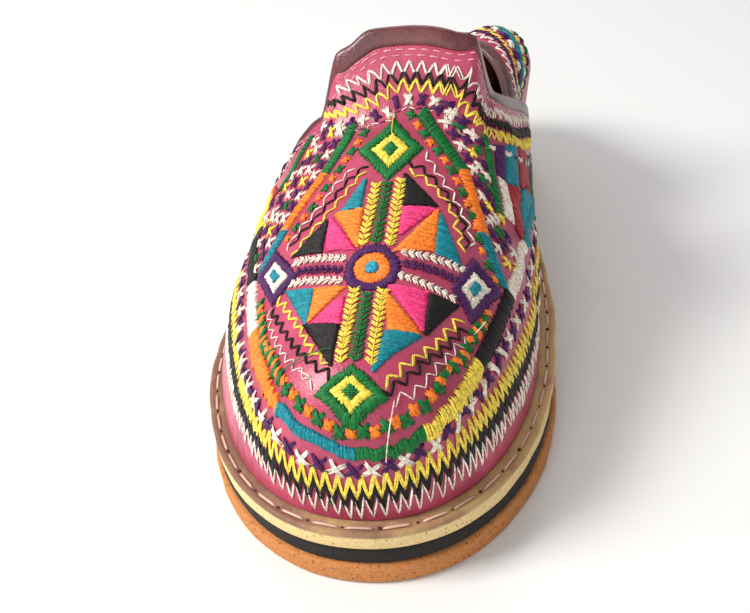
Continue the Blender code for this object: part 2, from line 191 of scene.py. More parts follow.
WELT_TOP = OUTSOLE + GAP + MIDSOLE + GAP + WELT
UPPER_BASE = WELT_TOP + GAP
HEEL_STATION = LENGTH - HEEL_ROUND
QUARTER_TUCK = VAMP_WALL + WING_GAP + BINDING_PROUD
LATERAL = -1.0
MEDIAL = 1.0
ARC_SAMPLES = 160

# Soft creases across the toe, in metres: place along the shoe, side, depth
CREASES = (
    (-0.052, 1, 0.0007),
    (-0.040, 1, 0.0006),
    (-0.047, -1, 0.0007),
    (-0.034, -1, 0.0005),
)
CREASE_LEAN = 0.10
CREASE_WIDTH = 0.0032
CREASE_MIDDLE = 0.006

# How finely the vamp's table, the hem chart and the throat chart are divided
TABLE_ROWS = 420
TABLE_COLUMNS = 480
PLAN_SAMPLES = 300
HEM_STEP = 0.0005
HEM_HEIGHT = 0.040
HEM_RISE = 0.00025
THROAT_STEP = 0.0005
THROAT_DEPTH = 0.034
THROAT_REACH = 0.130
MM = 0.001


def smooth_table(rows, names, key, at):
    """Every other column where column key equals at, on a smooth cubic through the rows."""
    table = np.array(rows)
    xs = table[:, names.index(key)]
    at = np.clip(np.asarray(at, dtype=float), xs[0], xs[-1])
    step = np.clip(np.searchsorted(xs, at, side="right") - 1, 0, len(xs) - 2)
    width = xs[step + 1] - xs[step]
    part = (at - xs[step]) / width
    values = {}
    for column, name in enumerate(names):
        ys = table[:, column]
        slope = np.diff(ys) / np.diff(xs)
        steep = np.concatenate(([slope[0]], (slope[:-1] + slope[1:]) / 2, [slope[-1]]))
        same_way = np.concatenate(([True], slope[:-1] * slope[1:] > 0, [True]))
        steep = np.where(same_way, steep, 0.0)
        values[name] = (
            ys[step] * (2 * part**3 - 3 * part**2 + 1)
            + steep[step] * width * (part**3 - 2 * part**2 + part)
            + ys[step + 1] * (3 * part**2 - 2 * part**3)
            + steep[step + 1] * width * (part**3 - part**2)
        )
    return values


def run_length(points):
    """Length along a line of points at each of them, from 0."""
    return np.concatenate(([0.0], np.cumsum(np.linalg.norm(np.diff(points, axis=0), axis=1))))


def ease(value):
    """Smooth step from 0 to 1."""
    value = np.clip(value, 0.0, 1.0)
    return value * value * (3 - 2 * value)


def half_width(station, side, inset):
    """Half width of the sole plan: a superellipse to the ball, a cosine ramp to the heel and a superellipse
    round it."""
    ball = (BALL_MEDIAL if side > 0 else BALL_LATERAL) - inset
    heel = (HEEL_MEDIAL if side > 0 else HEEL_LATERAL) - inset
    way = np.clip((station - BALL_STATION) / (HEEL_STATION - BALL_STATION), 0.0, 1.0)
    width = heel + (ball - heel) * (0.5 + 0.5 * np.cos(math.pi * way))
    if side > 0:
        width = width - ARCH_CUT * np.sin(math.pi * way) ** 2
    toe = np.clip((BALL_STATION - station) / (BALL_STATION - inset), 0.0, 1.0)
    end = np.clip((station - HEEL_STATION) / (HEEL_ROUND - inset), 0.0, 1.0)
    toe_cap = (1 - toe**TOE_SQUARENESS) ** (1 / TOE_SQUARENESS)
    heel_cap = (1 - end**HEEL_SQUARENESS) ** (1 / HEEL_SQUARENESS)
    return width * toe_cap * heel_cap


def swing(station):
    """Sideways place of the plan's middle line, which bends to the big toe in front of the ball."""
    return TOE_SWING * np.clip(1 - station / BALL_STATION, 0.0, 1.0) ** SWING_POWER


def plan_middle():
    """Middle of the outline's whole width."""
    stations = np.linspace(0.0, LENGTH, 800)
    medial = swing(stations) + half_width(stations, MEDIAL, 0.0)
    lateral = swing(stations) - half_width(stations, LATERAL, 0.0)
    return (medial.max() + lateral.min()) / 2


PLAN_MIDDLE = plan_middle()


def side_x(station, side, inset):
    """X of the outline on one side."""
    return swing(station) + side * half_width(station, side, inset) - PLAN_MIDDLE


def outline_points(stations, inset):
    """The plan's outline as x and station, from the lateral side's far end round the toe to the medial
    side's."""
    lateral = np.stack((side_x(stations, LATERAL, inset), stations), -1)
    medial = np.stack((side_x(stations, MEDIAL, inset), stations), -1)
    return np.concatenate((lateral[::-1], medial[1:]))


def toe_lift(station):
    """Toe spring: a parabola in front of the ball."""
    return TOE_SPRING * np.clip(1 - station / TOE_SPRING_LENGTH, 0.0, 1.0) ** 2


def half_section(station, side):
    """Half of the vamp's section at each station: a Bezier curve from the sole, upright, to the crown, level.
    Returns x, z and the arc length of dense points."""
    row = smooth_table(VAMP_SECTIONS, VAMP_COLUMN_NAMES, "station", station / LENGTH)
    name = "medial" if side > 0 else "lateral"
    roll = np.clip((station - STRIP) / TOE_ROLL, 0.0, 1.0)
    toe = (1 - (1 - roll) ** TOE_BLUNTNESS) ** (1 / TOE_BLUNTNESS)
    crown = INSTEP * row["crown"] * toe
    foot_x = side_x(station, side, STRIP)
    crown_x = swing(station) - PLAN_MIDDLE + row["shift"] * BALL_MEDIAL * toe
    span = foot_x - crown_x
    way = np.linspace(0.0, 1.0, ARC_SAMPLES) ** 1.5
    weights = np.stack(((1 - way) ** 3, 3 * way * (1 - way) ** 2, 3 * way**2 * (1 - way), way**3))
    bulge_x = foot_x + row["lean_" + name] * span
    level_x = crown_x + row["top_" + name] * span
    x = np.stack((foot_x, bulge_x, level_x, crown_x), -1) @ weights
    z = np.stack((0 * crown, row["wall_" + name] * crown, crown, crown), -1) @ weights
    steps = np.hypot(np.diff(x, axis=-1), np.diff(z, axis=-1))
    arc = np.concatenate((np.zeros(steps.shape[:-1] + (1,)), np.cumsum(steps, axis=-1)), axis=-1)
    return x, z, arc


def tab_rise(station, x):
    """How far the tab stands above the instep: a rise that grows to the throat's edge, higher and sloped on
    the lateral side."""
    grown = np.clip((station - TAB_START) / (TAB_STATION - TAB_START), 0.0, 1.0) ** 2
    toward_corner = np.clip((TAB_MIDDLE - x) / TAB_HALF_WIDTH, 0.0, 1.1)
    rise = TAB_RISE + TAB_CORNER_RISE * toward_corner**2
    shoulder = np.where(x < TAB_MIDDLE, TAB_SLOPE, TAB_SHOULDER)
    return rise * grown * (1 - ease((np.abs(x - TAB_MIDDLE) - TAB_HALF_WIDTH) / shoulder))


def rib_curve(row, length, tuck=0.0):
    """A rib's inward reach and height at each length from the sole: straight, round the fold, straight.
    tuck moves the curve inward, square to itself, with its foot kept on the sole."""
    lean = np.radians(row["lean"])
    end = np.radians(row["end"])
    rise = QUARTER_HEIGHT * row["rise"]
    radius = FOLD_RADIUS * row["radius"]
    wall = np.minimum(length, rise)
    turn = np.clip((length - rise) / radius, 0.0, end - lean)
    flap = np.maximum(length - rise - radius * (end - lean), 0.0)
    reach = wall * np.sin(lean) + radius * (np.cos(lean) - np.cos(lean + turn)) + flap * np.sin(end)
    height = wall * np.cos(lean) + radius * (np.sin(lean + turn) - np.sin(lean)) + flap * np.cos(end)
    reach = reach + tuck * np.cos(lean + turn)
    height = height - tuck * (np.sin(lean + turn) - np.sin(lean))
    return reach, height


def rib_length(row):
    """Whole length of a rib from the sole to the bound edge."""
    turn = np.radians(row["end"] - row["lean"])
    return QUARTER_HEIGHT * row["rise"] + FOLD_RADIUS * row["radius"] * turn + FLAP * row["flap"]


def heel_line():
    """The heel's part of the outline, medial front end to lateral front end, each point's share along it
    and its whole length."""
    way = np.sin(0.5 * math.pi * np.linspace(0.0, 1.0, 400))
    stations = QUARTER_STATION + (LENGTH - STRIP - QUARTER_STATION) * way
    medial = np.stack((side_x(stations, MEDIAL, STRIP), stations - LENGTH / 2), -1)
    lateral = np.stack((side_x(stations, LATERAL, STRIP), stations - LENGTH / 2), -1)
    points = np.concatenate((medial, lateral[::-1][1:]))
    along = run_length(points)
    return points, along / along[-1], along[-1]


HEEL_POINTS, HEEL_ALONG, HEEL_LENGTH = heel_line()


def wing_rib(station, side):
    """The rib row that a station of one side falls on, in front of the heel's round end."""
    count = (len(HEEL_ALONG) + 1) // 2
    y = station - LENGTH / 2
    if side > 0:
        along = np.interp(y, HEEL_POINTS[:count, 1], HEEL_ALONG[:count])
    else:
        along = np.interp(y, HEEL_POINTS[::-1][:count, 1], HEEL_ALONG[::-1][:count])
    return smooth_table(QUARTER_RIBS, RIB_COLUMN_NAMES, "along", along)


def grid_normals(points):
    """Unit normals of a grid of points, from the differences along its two ways."""
    normals = np.cross(np.gradient(points, axis=1), np.gradient(points, axis=0))
    size = np.linalg.norm(normals, axis=-1, keepdims=True)
    return normals / np.maximum(size, 1e-12)


def look_up(table, row, column):
    """Values of a table between its rows and columns, blended from the four nearest."""
    row = np.clip(row, 0, table.shape[0] - 1.000001)
    column = np.clip(column, 0, table.shape[1] - 1.000001)
    i = row.astype(int)
    j = column.astype(int)
    u = row - i
    v = column - j
    if table.ndim == 3:
        u = u[..., None]
        v = v[..., None]
    near = table[i, j] * (1 - v) + table[i, j + 1] * v
    far = table[i + 1, j] * (1 - v) + table[i + 1, j + 1] * v
    return near * (1 - u) + far * u


def leather_relief(points):
    """Height of the leather above its plain form: the hem's small puckers, two soft toe creases on each
    side and slow waves, as sums of sines and of soft bumps placed in the shoe's own sizes."""
    x, y, z = points[..., 0], points[..., 1], points[..., 2]
    height = z - UPPER_BASE
    round_toe = np.arctan2(x - 0.004, -(y + 0.075))
    puckers = 0.00022 * np.sin(58 * round_toe) * np.exp(-((height - 0.006) / 0.005) ** 2)
    puckers = puckers * (0.6 + 0.4 * np.sin(7.3 * round_toe + 1.0))
    waves = 0.00035 * np.sin(95 * x + 1.0) * np.sin(62 * y + 0.6) * ease(height / 0.02)
    crease = np.zeros_like(x)
    for place, side, depth in CREASES:
        lean = place + CREASE_LEAN * np.abs(x - CREASE_MIDDLE)
        on_side = ease((side * (x - CREASE_MIDDLE) - 0.016) / 0.012)
        crease -= depth * on_side * np.exp(-((y - lean) / CREASE_WIDTH) ** 2) * ease(height / 0.012)
    return puckers + waves + crease


def vamp_tables():
    """The vamp's outer surface as a table: rows at stations spaced as the square of an even step, so that the
    round toe is dense, columns even in across, from -1 at the lateral sole edge over 0 at the crown to 1."""
    stations = STRIP + (WING_STATION + 0.002 - STRIP) * np.linspace(0.0, 1.0, TABLE_ROWS + 1) ** 2
    across = np.linspace(-1.0, 1.0, TABLE_COLUMNS + 1)
    points = np.zeros((len(stations), len(across), 3))
    points[..., 1] = (stations - LENGTH / 2)[:, None]
    for side in (LATERAL, MEDIAL):
        mine = across >= 0 if side > 0 else across < 0
        up = 1 - np.abs(across[mine])
        capped = np.minimum(stations, TAB_STATION + GAP)
        x, z, arc = half_section(capped, side)
        length = up[None, :] * arc[:, -1:]
        rows = range(len(stations))
        section_x = np.array([np.interp(length[k], arc[k], x[k]) for k in rows])
        section_z = np.array([np.interp(length[k], arc[k], z[k]) for k in rows])
        section_x += (side_x(stations, side, STRIP) - side_x(capped, side, STRIP))[:, None]
        section_z += tab_rise(stations[:, None], section_x)
        rib = {name: value[:, None] for name, value in wing_rib(stations, side).items()}
        reach, height = rib_curve(rib, length)
        rib_x = side_x(stations, side, STRIP)[:, None] - side * reach
        blend = ease((stations - TAB_STATION) / (QUARTER_STATION - TAB_STATION))[:, None]
        points[:, mine, 0] = section_x + (rib_x - section_x) * blend
        foot_z = UPPER_BASE + toe_lift(stations)[:, None]
        points[:, mine, 2] = foot_z + section_z + (height - section_z) * blend
    normals = grid_normals(points)
    normals[0] = normals[2]
    normals[1] = normals[2]
    raised = points + normals * leather_relief(points)[..., None]
    normals = grid_normals(raised)
    normals[0] = normals[2]
    normals[1] = normals[2]
    return stations, across, points, raised, normals


STATIONS, ACROSS, PLAIN, SKIN, SKIN_NORMAL = vamp_tables()


def table_row(station):
    """Row of the vamp's table at a station."""
    share = np.clip((station - STATIONS[0]) / (STATIONS[-1] - STATIONS[0]), 0.0, 1.0)
    return TABLE_ROWS * np.sqrt(share)


def vamp_at(station, across):
    """Point and unit normal of the vamp's outer face."""
    row = table_row(station)
    column = (across + 1) / 2 * TABLE_COLUMNS
    normal = look_up(SKIN_NORMAL, row, column)
    return look_up(SKIN, row, column), normal / np.linalg.norm(normal, axis=-1, keepdims=True)


def plan_tables():
    """For each row of the vamp's table, across at even steps of an angle that runs round the section."""
    x = np.maximum.accumulate(PLAIN[..., 0], axis=1)
    middle = (x[:, 0] + x[:, -1]) / 2
    half = np.maximum((x[:, -1] - x[:, 0]) / 2, 1e-6)
    turn = np.cos(math.pi * np.linspace(0.0, 1.0, PLAN_SAMPLES + 1))
    rows = range(len(x))
    return middle, half, np.array([np.interp(middle[k] - half[k] * turn, x[k], ACROSS) for k in rows])


PLAN_CENTRE, PLAN_HALF, PLAN_ACROSS = plan_tables()


def from_plan(x, y):
    """Station and across of the vamp's point over a place of the plan, in metres."""
    station = y + LENGTH / 2
    row = np.clip(table_row(station), 0, TABLE_ROWS - 1e-6)
    low = row.astype(int)
    part = row - low
    found = []
    for i in (low, low + 1):
        share = np.clip((PLAN_CENTRE[i] - x) / PLAN_HALF[i], -1.0, 1.0)
        found.append(look_up(PLAN_ACROSS, i.astype(float), np.arccos(share) / math.pi * PLAN_SAMPLES))
    return station, found[0] * (1 - part) + found[1] * part


def hem_tables():
    """The hem chart: from each point of the line where the upper meets the sole, a path runs up the
    surface, square to that line round the toe and along the sections behind the ball. Returns the line's
    even distances from the toe's middle, lateral side negative, and the station and across of every
    distance and height."""
    way = np.linspace(0.0, 1.0, 1200) ** 2
    stations = STRIP + (WING_STATION - STRIP) * way
    line = outline_points(stations, STRIP)
    distance = run_length(line)
    distance -= distance[len(stations) - 1]
    first = np.ceil(distance[0] / HEM_STEP) * HEM_STEP
    even = np.arange(first, distance[-1], HEM_STEP)
    x = np.interp(even, distance, line[:, 0])
    station = np.interp(even, distance, line[:, 1])
    tangent = np.stack((np.gradient(x), np.gradient(station)), -1)
    tangent /= np.linalg.norm(tangent, axis=1, keepdims=True)
    inward = np.stack((-tangent[:, 1], tangent[:, 0]), -1)
    flat = np.stack((-np.sign(even), np.zeros_like(even)), -1)
    turned = ease((station - 0.045) / 0.035)[:, None]
    inward = inward * (1 - turned) + flat * turned
    inward /= np.linalg.norm(inward, axis=1, keepdims=True)
    deep = 0.044 * np.linspace(0.0, 1.0, 120) ** 2
    path_x = x[:, None] + inward[:, :1] * deep
    path_y = station[:, None] + inward[:, 1:] * deep - LENGTH / 2
    path_station, path_across = from_plan(path_x, path_y)
    behind = (station > 0.098)[:, None]
    up = np.linspace(0.0, 0.75, 120)[None, :]
    path_station = np.where(behind, station[:, None], path_station)
    path_across = np.where(behind, np.sign(even)[:, None] * (1 - up), path_across)
    points, _ = vamp_at(path_station, path_across)
    climb = np.linalg.norm(np.diff(points, axis=1), axis=-1)
    climb = np.concatenate((np.zeros((len(even), 1)), np.cumsum(climb, axis=1)), axis=1)
    heights = np.arange(0.0, HEM_HEIGHT + HEM_RISE, HEM_RISE)
    rows = range(len(even))
    hem_station = np.array([np.interp(heights, climb[k], path_station[k]) for k in rows])
    hem_across = np.array([np.interp(heights, climb[k], path_across[k]) for k in rows])
    return even, hem_station, hem_across


HEM_LINE, HEM_STATION, HEM_ACROSS = hem_tables()


def from_hem(distance, height):
    """Station and across at a distance along the hem line from the toe's middle and a height above it."""
    row = (distance - HEM_LINE[0]) / HEM_STEP
    column = height / HEM_RISE
    return look_up(HEM_STATION, row, column), look_up(HEM_ACROSS, row, column)


def throat_station(across):
    """Station of the throat's edge at each place across."""
    row = smooth_table(THROAT_EDGE, THROAT_COLUMN_NAMES, "up", 1 - np.abs(across))
    back = np.where(across > 0, row["medial"], row["lateral"])
    return TAB_STATION + back * (WING_STATION - TAB_STATION)


def throat_tables():
    """The throat chart: lines that run inside the throat's edge at even distances on the surface. The edge
    is stepped inward square to itself, and each point keeps the length along the edge that it started from,
    counted from the crown. Returns each line's station at every across, and the across of even lengths."""
    across = ACROSS
    station = throat_station(across)
    edge, _ = vamp_at(station, across)
    label = run_length(edge)
    label -= label[TABLE_COLUMNS // 2]
    even = np.arange(-THROAT_REACH, THROAT_REACH + THROAT_STEP, THROAT_STEP)
    lines = []
    places = []
    nudge = 1e-4
    for _ in range(int(round(THROAT_DEPTH / THROAT_STEP)) + 1):
        here, _ = vamp_at(station, across)
        lines.append(station)
        places.append(np.interp(even, label, across))
        by_station = (here - vamp_at(station - nudge, across)[0]) / nudge
        tangent = np.gradient(here, across, axis=0)
        by_across = tangent - np.gradient(station, across)[:, None] * by_station
        tangent = tangent / np.linalg.norm(tangent, axis=1, keepdims=True)
        inward = -by_station + (by_station * tangent).sum(1, keepdims=True) * tangent
        inward *= THROAT_STEP / np.linalg.norm(inward, axis=1, keepdims=True)
        ss = (by_station**2).sum(1)
        sa = (by_station * by_across).sum(1)
        aa = (by_across**2).sum(1)
        s = (by_station * inward).sum(1)
        a = (by_across * inward).sum(1)
        size = np.maximum(ss * aa - sa**2, 1e-18)
        move_station = (s * aa - a * sa) / size
        move_across = np.clip((a * ss - s * sa) / size, -0.02, 0.02)
        moved = np.maximum.accumulate(np.clip(across + move_across, -1.0, 1.0))
        station = np.interp(across, moved, station + move_station)
        station = np.convolve(np.pad(station, 3, mode="edge"), np.ones(7) / 7, mode="valid")
        label = np.interp(across, moved, label)
    return np.array(lines), np.array(places)


THROAT_LINES, THROAT_PLACES = throat_tables()


def from_throat(length, depth):
    """Station and across at a length along the throat's edge, from the crown with the medial side positive,
    and a depth inside it."""
    row = depth / THROAT_STEP
    row, column = np.broadcast_arrays(row, (length + THROAT_REACH) / THROAT_STEP)
    across = look_up(THROAT_PLACES, row, column)
    return look_up(THROAT_LINES, row, (across + 1) / 2 * TABLE_COLUMNS), across


def throat_limit(across, depth):
    """Station of the line that runs depth inside the throat's edge."""
    row = np.broadcast_to(depth / THROAT_STEP, np.shape(across))
    return look_up(THROAT_LINES, row, (np.asarray(across) + 1) / 2 * TABLE_COLUMNS)


def quarter_surface(along, share, depth):
    """Surface of the quarter, depth inside its outer face, at a rib along the heel line and a share of its
    length."""
    row = smooth_table(QUARTER_RIBS, RIB_COLUMN_NAMES, "along", along)
    x = np.interp(along, HEEL_ALONG, HEEL_POINTS[:, 0])
    y = np.interp(along, HEEL_ALONG, HEEL_POINTS[:, 1])
    tuck = QUARTER_TUCK * (1 - ease((y - (WING_STATION - LENGTH / 2)) / TUCK_RELEASE))
    reach, height = rib_curve(row, share * rib_length(row), tuck + depth)
    heading = np.radians(row["heading"])
    return np.stack((x - reach * np.sin(heading), y - reach * np.cos(heading), UPPER_BASE + height), -1)


def quarter_at(along, below):
    """Point and unit normal of the quarter's outer face, at a length below its bound edge."""
    length = rib_length(smooth_table(QUARTER_RIBS, RIB_COLUMN_NAMES, "along", along))
    share = np.clip(1 - below / length, 0.0, 1.0)
    here = quarter_surface(along, share, 0.0)
    by_along = quarter_surface(along + 1e-4, share, 0.0) - quarter_surface(along - 1e-4, share, 0.0)
    by_share = quarter_surface(along, share + 1e-4, 0.0) - quarter_surface(along, share - 1e-4, 0.0)
    normal = np.cross(by_along, by_share)
    return here, normal / np.maximum(np.linalg.norm(normal, axis=-1, keepdims=True), 1e-12)


SEED = 11
THREAD_SIDES = 6

# How far a thread's tone may stray from its colour, and a satin patch's. A patch's wider spread is partly
# random tone and partly painted sheen: lighter and darker threads as if the satin caught the light
THREAD_SHADE = 0.16
PATCH_TONE_AND_SHEEN = 0.24


def srgb(red, green, blue):
    """Linear colour of a display colour given from 0 to 255."""
    value = np.array([red, green, blue]) / 255
    return np.where(value <= 0.04045, value / 12.92, ((value + 0.055) / 1.055) ** 2.4)


THREADS = {
    "pink": srgb(240, 62, 128),
    "orange": srgb(255, 132, 40),
    "teal": srgb(6, 132, 146),
    "yellow": srgb(246, 218, 84),
    "green": srgb(8, 112, 50),
    "purple": srgb(74, 24, 88),
    "black": srgb(17, 11, 10),
    "white": srgb(240, 228, 212),
    "red": srgb(168, 30, 44),
    "sky": srgb(44, 156, 186),
}


def plan_chart(x, y):
    """Point and normal of the vamp over a place of the plan, in millimetres."""
    return vamp_at(*from_plan(x * MM, y * MM))


def hem_chart(distance, height):
    """Point and normal of the vamp at a distance along the hem line and a height above it, in millimetres."""
    return vamp_at(*from_hem(distance * MM, height * MM))


def throat_chart(length, depth):
    """Point and normal of the vamp at a length along the throat's edge and a depth inside it, in mm."""
    return vamp_at(*from_throat(length * MM, depth * MM))


def quarter_chart(length, below):
    """Point and normal of the quarter at a length round the heel line and below its bound edge, in mm."""
    return quarter_at(np.clip(length * MM / HEEL_LENGTH, 1e-3, 1 - 1e-3), below * MM)


def quarter_hem_chart(length, height):
    """Point and normal of the quarter at a length round the heel line and a height above the sole, in mm."""
    along = np.clip(length * MM / HEEL_LENGTH, 1e-3, 1 - 1e-3)
    rib = rib_length(smooth_table(QUARTER_RIBS, RIB_COLUMN_NAMES, "along", along))
    return quarter_at(along, rib - height * MM)


class Threads:
    """Threads of one embroidery: each is a path of points on a surface, with a radius and a colour."""

    def __init__(self, seed):
        self.random = np.random.default_rng(SEED + seed)
        self.points = []
        self.colours = []
        self.faces = []
        self.count = 0

    def add(self, points, normals, radius, colour, flat=0.85, shade=THREAD_SHADE):
        """A tube round each path: rings of THREAD_SIDES points, thinner and sunk at both ends."""
        number, samples = points.shape[:2]
        way = np.gradient(points, axis=1)
        way /= np.maximum(np.linalg.norm(way, axis=-1, keepdims=True), 1e-12)
        side = np.cross(way, normals)
        side /= np.maximum(np.linalg.norm(side, axis=-1, keepdims=True), 1e-12)
        up = np.cross(side, way)
        share = np.linspace(0.0, 1.0, samples)
        thin = np.where((share == 0) | (share == 1), 0.55, 1.0)
        size = (radius * thin)[None, :, None, None] * self.random.uniform(0.9, 1.1, (number, 1, 1, 1))
        turn = 2 * math.pi * np.arange(THREAD_SIDES) / THREAD_SIDES
        ring = (
            side[:, :, None, :] * np.cos(turn)[None, None, :, None]
            + up[:, :, None, :] * (flat * np.sin(turn))[None, None, :, None]
        )
        verts = points[:, :, None, :] + size * ring
        colour = np.broadcast_to(colour, (number, 3))
        tone = self.random.uniform(1 - shade, 1 + shade, (number, 1))
        tint = np.repeat(colour * tone, samples * THREAD_SIDES, axis=0)
        index = self.count + np.arange(len(tint)).reshape(number, samples, THREAD_SIDES)
        after = np.roll(index, -1, axis=2)
        sides = np.stack((index[:, :-1], after[:, :-1], after[:, 1:], index[:, 1:]), -1).reshape(-1, 4)
        first = index[:, 0][:, ::-1]
        last = index[:, -1]
        caps = [end[:, corners] for end in (first, last) for corners in ((0, 1, 2, 3), (3, 4, 5, 0))]
        self.points.append(verts.reshape(-1, 3))
        self.colours.append(tint)
        self.faces.append(np.concatenate([sides] + caps))
        self.count += len(tint)

    def span(self, chart, start, end, colour, radius=0.27, bulge=0.25, samples=6, base=0.10, wobble=0.0,
             shade=THREAD_SHADE):
        """Threads from each start to each end, straight in the chart, that rise and fall between their
        ends."""
        start = np.asarray(start, dtype=float)
        end = np.asarray(end, dtype=float)
        if wobble:
            start = start + self.random.uniform(-wobble, wobble, start.shape)
            end = end + self.random.uniform(-wobble, wobble, end.shape)
        share = np.linspace(0.0, 1.0, samples)
        path = start[:, None, :] * (1 - share)[None, :, None] + end[:, None, :] * share[None, :, None]
        points, normals = chart(path[..., 0], path[..., 1])
        lift = (base + bulge * np.sin(math.pi * share) ** 0.6) * MM
        lift[[0, -1]] -= 0.15 * MM
        loose = self.random.uniform(-0.06, 0.06, (len(start), 1, 1)) * MM
        points = points + normals * (lift[None, :, None] + loose)
        self.add(points, normals, radius * MM, colour, shade=shade)

    def patch(
        self, chart, corners, colour, angle, pitch=0.37, bulge=0.16, radius=0.26, ragged=0.3, samples=8
    ):
        """A convex satin patch: threads at an angle from the chart's first way, a pitch apart, edge to
        edge."""
        corners = np.asarray(corners, dtype=float)
        along = np.array([math.cos(math.radians(angle)), math.sin(math.radians(angle))])
        aside = np.array([-along[1], along[0]])
        level = corners @ aside
        lines = np.arange(level.min() + pitch / 2, level.max(), pitch)
        following = np.roll(corners, -1, axis=0)
        level_next = following @ aside
        rise = np.where(np.abs(level_next - level) < 1e-9, 1e-9, level_next - level)
        part = (lines[:, None] - level[None, :]) / rise[None, :]
        crossing = corners[None] + part[..., None] * (following - corners)[None]
        reach = crossing @ along
        valid = (part >= 0) & (part <= 1)
        low = np.where(valid, reach, np.inf).min(1)
        high = np.where(valid, reach, -np.inf).max(1)
        good = high - low > 0.4
        low = low[good] - self.random.uniform(0, ragged, good.sum())
        high = high[good] + self.random.uniform(0, ragged, good.sum())
        base = lines[good][:, None] * aside[None, :]
        start = base + low[:, None] * along
        end = base + high[:, None] * along
        # The patch's threads take the wider tone spread, partly random tone and partly painted sheen
        self.span(chart, start, end, colour, radius, bulge, samples, 0.16, shade=PATCH_TONE_AND_SHEEN)

    def ring(self, chart, outer, inner, colour, pitch=0.38, radius=0.23, bulge=0.24, ragged=0.35, samples=5):
        """Satin between two closed outlines with the same corners: threads run from one to the other."""
        outer = np.asarray(outer, dtype=float)
        inner = np.asarray(inner, dtype=float)
        closed_outer = np.concatenate((outer, outer[:1]))
        closed_inner = np.concatenate((inner, inner[:1]))
        distance = run_length(closed_outer)
        at = np.arange(0.0, distance[-1], pitch)
        corners = np.arange(len(outer) + 1)
        where = np.interp(at, distance, corners)
        start = np.stack([np.interp(where, corners, closed_outer[:, k]) for k in (0, 1)], -1)
        end = np.stack([np.interp(where, corners, closed_inner[:, k]) for k in (0, 1)], -1)
        outward = start - end
        outward /= np.linalg.norm(outward, axis=1, keepdims=True)
        start = start + outward * self.random.uniform(-ragged, ragged, (len(at), 1))
        end = end - outward * self.random.uniform(0, 2 * ragged, (len(at), 1))
        self.span(chart, start, end, colour, radius, bulge, samples)

    def zigzag(self, chart, at, low, high, colour, radius, strands=1, wobble=0.12, bulge=0.12, spread=0.55):
        """One thread, or several side by side, that runs to and fro between two lines of the chart."""
        edge = np.where(np.arange(len(at)) % 2 == 0, low, high)
        line = np.stack((at, edge), -1) + self.random.uniform(-wobble, wobble, (len(at), 2))
        for strand in range(strands):
            shift = np.array([(strand - (strands - 1) / 2) * spread, 0.0])
            self.span(chart, line[:-1] + shift, line[1:] + shift, colour, radius, bulge, 5, 0.18)

    def crosses(self, chart, centres, size, colours, angle=45.0, radius=0.30, strands=3, spread=0.42):
        """A row of crosses, each of two bundles of threads, the second over the first. A bundle takes its
        direction from the chart and its length from the surface."""
        centres = np.asarray(centres, dtype=float)
        number = len(centres)
        colours = np.broadcast_to(colours, (number, 3))
        half = np.broadcast_to(size, (number,))[:, None] / 2 * MM
        turn = np.radians(np.broadcast_to(angle, (number,)) + self.random.uniform(-7, 7, number))
        place, normal = chart(centres[:, 0], centres[:, 1])
        share = np.linspace(0.0, 1.0, 5)
        for stroke, height in ((0.0, 0.12), (math.pi / 2, 0.42)):
            step = 0.2 * np.stack((np.cos(turn + stroke), np.sin(turn + stroke)), -1)
            ahead, _ = chart(centres[:, 0] + step[:, 0], centres[:, 1] + step[:, 1])
            along = ahead - place
            along -= (along * normal).sum(1, keepdims=True) * normal
            along /= np.maximum(np.linalg.norm(along, axis=1, keepdims=True), 1e-9)
            aside = np.cross(normal, along)
            lift = (0.14 + height * np.sin(math.pi * share) ** 0.6) * MM
            lift[[0, -1]] -= 0.2 * MM
            for strand in range(strands):
                shift = aside * (strand - (strands - 1) / 2) * spread * MM
                reach = along * half * self.random.uniform(0.86, 1.14, (number, 1))
                start = (place + shift - reach)[:, None, :]
                end = (place + shift * 0.7 + reach)[:, None, :]
                path = start + (end - start) * share[None, :, None]
                path = path + normal[:, None, :] * lift[None, :, None]
                self.add(path, np.broadcast_to(normal[:, None, :], path.shape), radius * MM, colours)

    def wheat(self, chart, start, end, colour, pitch, leaf, radius, splay=48.0):
        """An ear of wheat: pairs of short leaves that open along a line, with a stem stitch between them."""
        start = np.asarray(start, dtype=float)
        end = np.asarray(end, dtype=float)
        length = np.linalg.norm(end - start)
        along = (end - start) / length
        spots = start + along * np.arange(0.0, length, pitch)[:, None]
        for side in (-1, 1):
            turn = math.radians(splay) * side
            way = np.array([
                along[0] * math.cos(turn) - along[1] * math.sin(turn),
                along[0] * math.sin(turn) + along[1] * math.cos(turn),
            ])
            for strand in (0.0, 0.35):
                begin = spots + along * strand * pitch
                tip = begin + way * leaf * self.random.uniform(0.80, 1.12, (len(spots), 1))
                self.span(chart, begin, tip, colour, radius, 0.22, 5, 0.16, 0.09)
        self.span(chart, spots, spots + along * pitch * 0.95, colour, radius, 0.2, 4, 0.35, 0.06)

    def build(self, name, finish, body="root"):
        """The piece of all the threads, with each thread's colour on its points."""
        piece = mesh_piece(name, np.concatenate(self.points), np.concatenate(self.faces), [finish])
        colour = np.concatenate(self.colours)
        colour = np.concatenate((np.clip(colour, 0, 1), np.ones((len(colour), 1))), axis=1)
        layer = piece.data.color_attributes.new("thread", "FLOAT_COLOR", "POINT")
        layer.data.foreach_set("color", colour.astype(np.float32).ravel())
        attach(piece, body)
        return piece


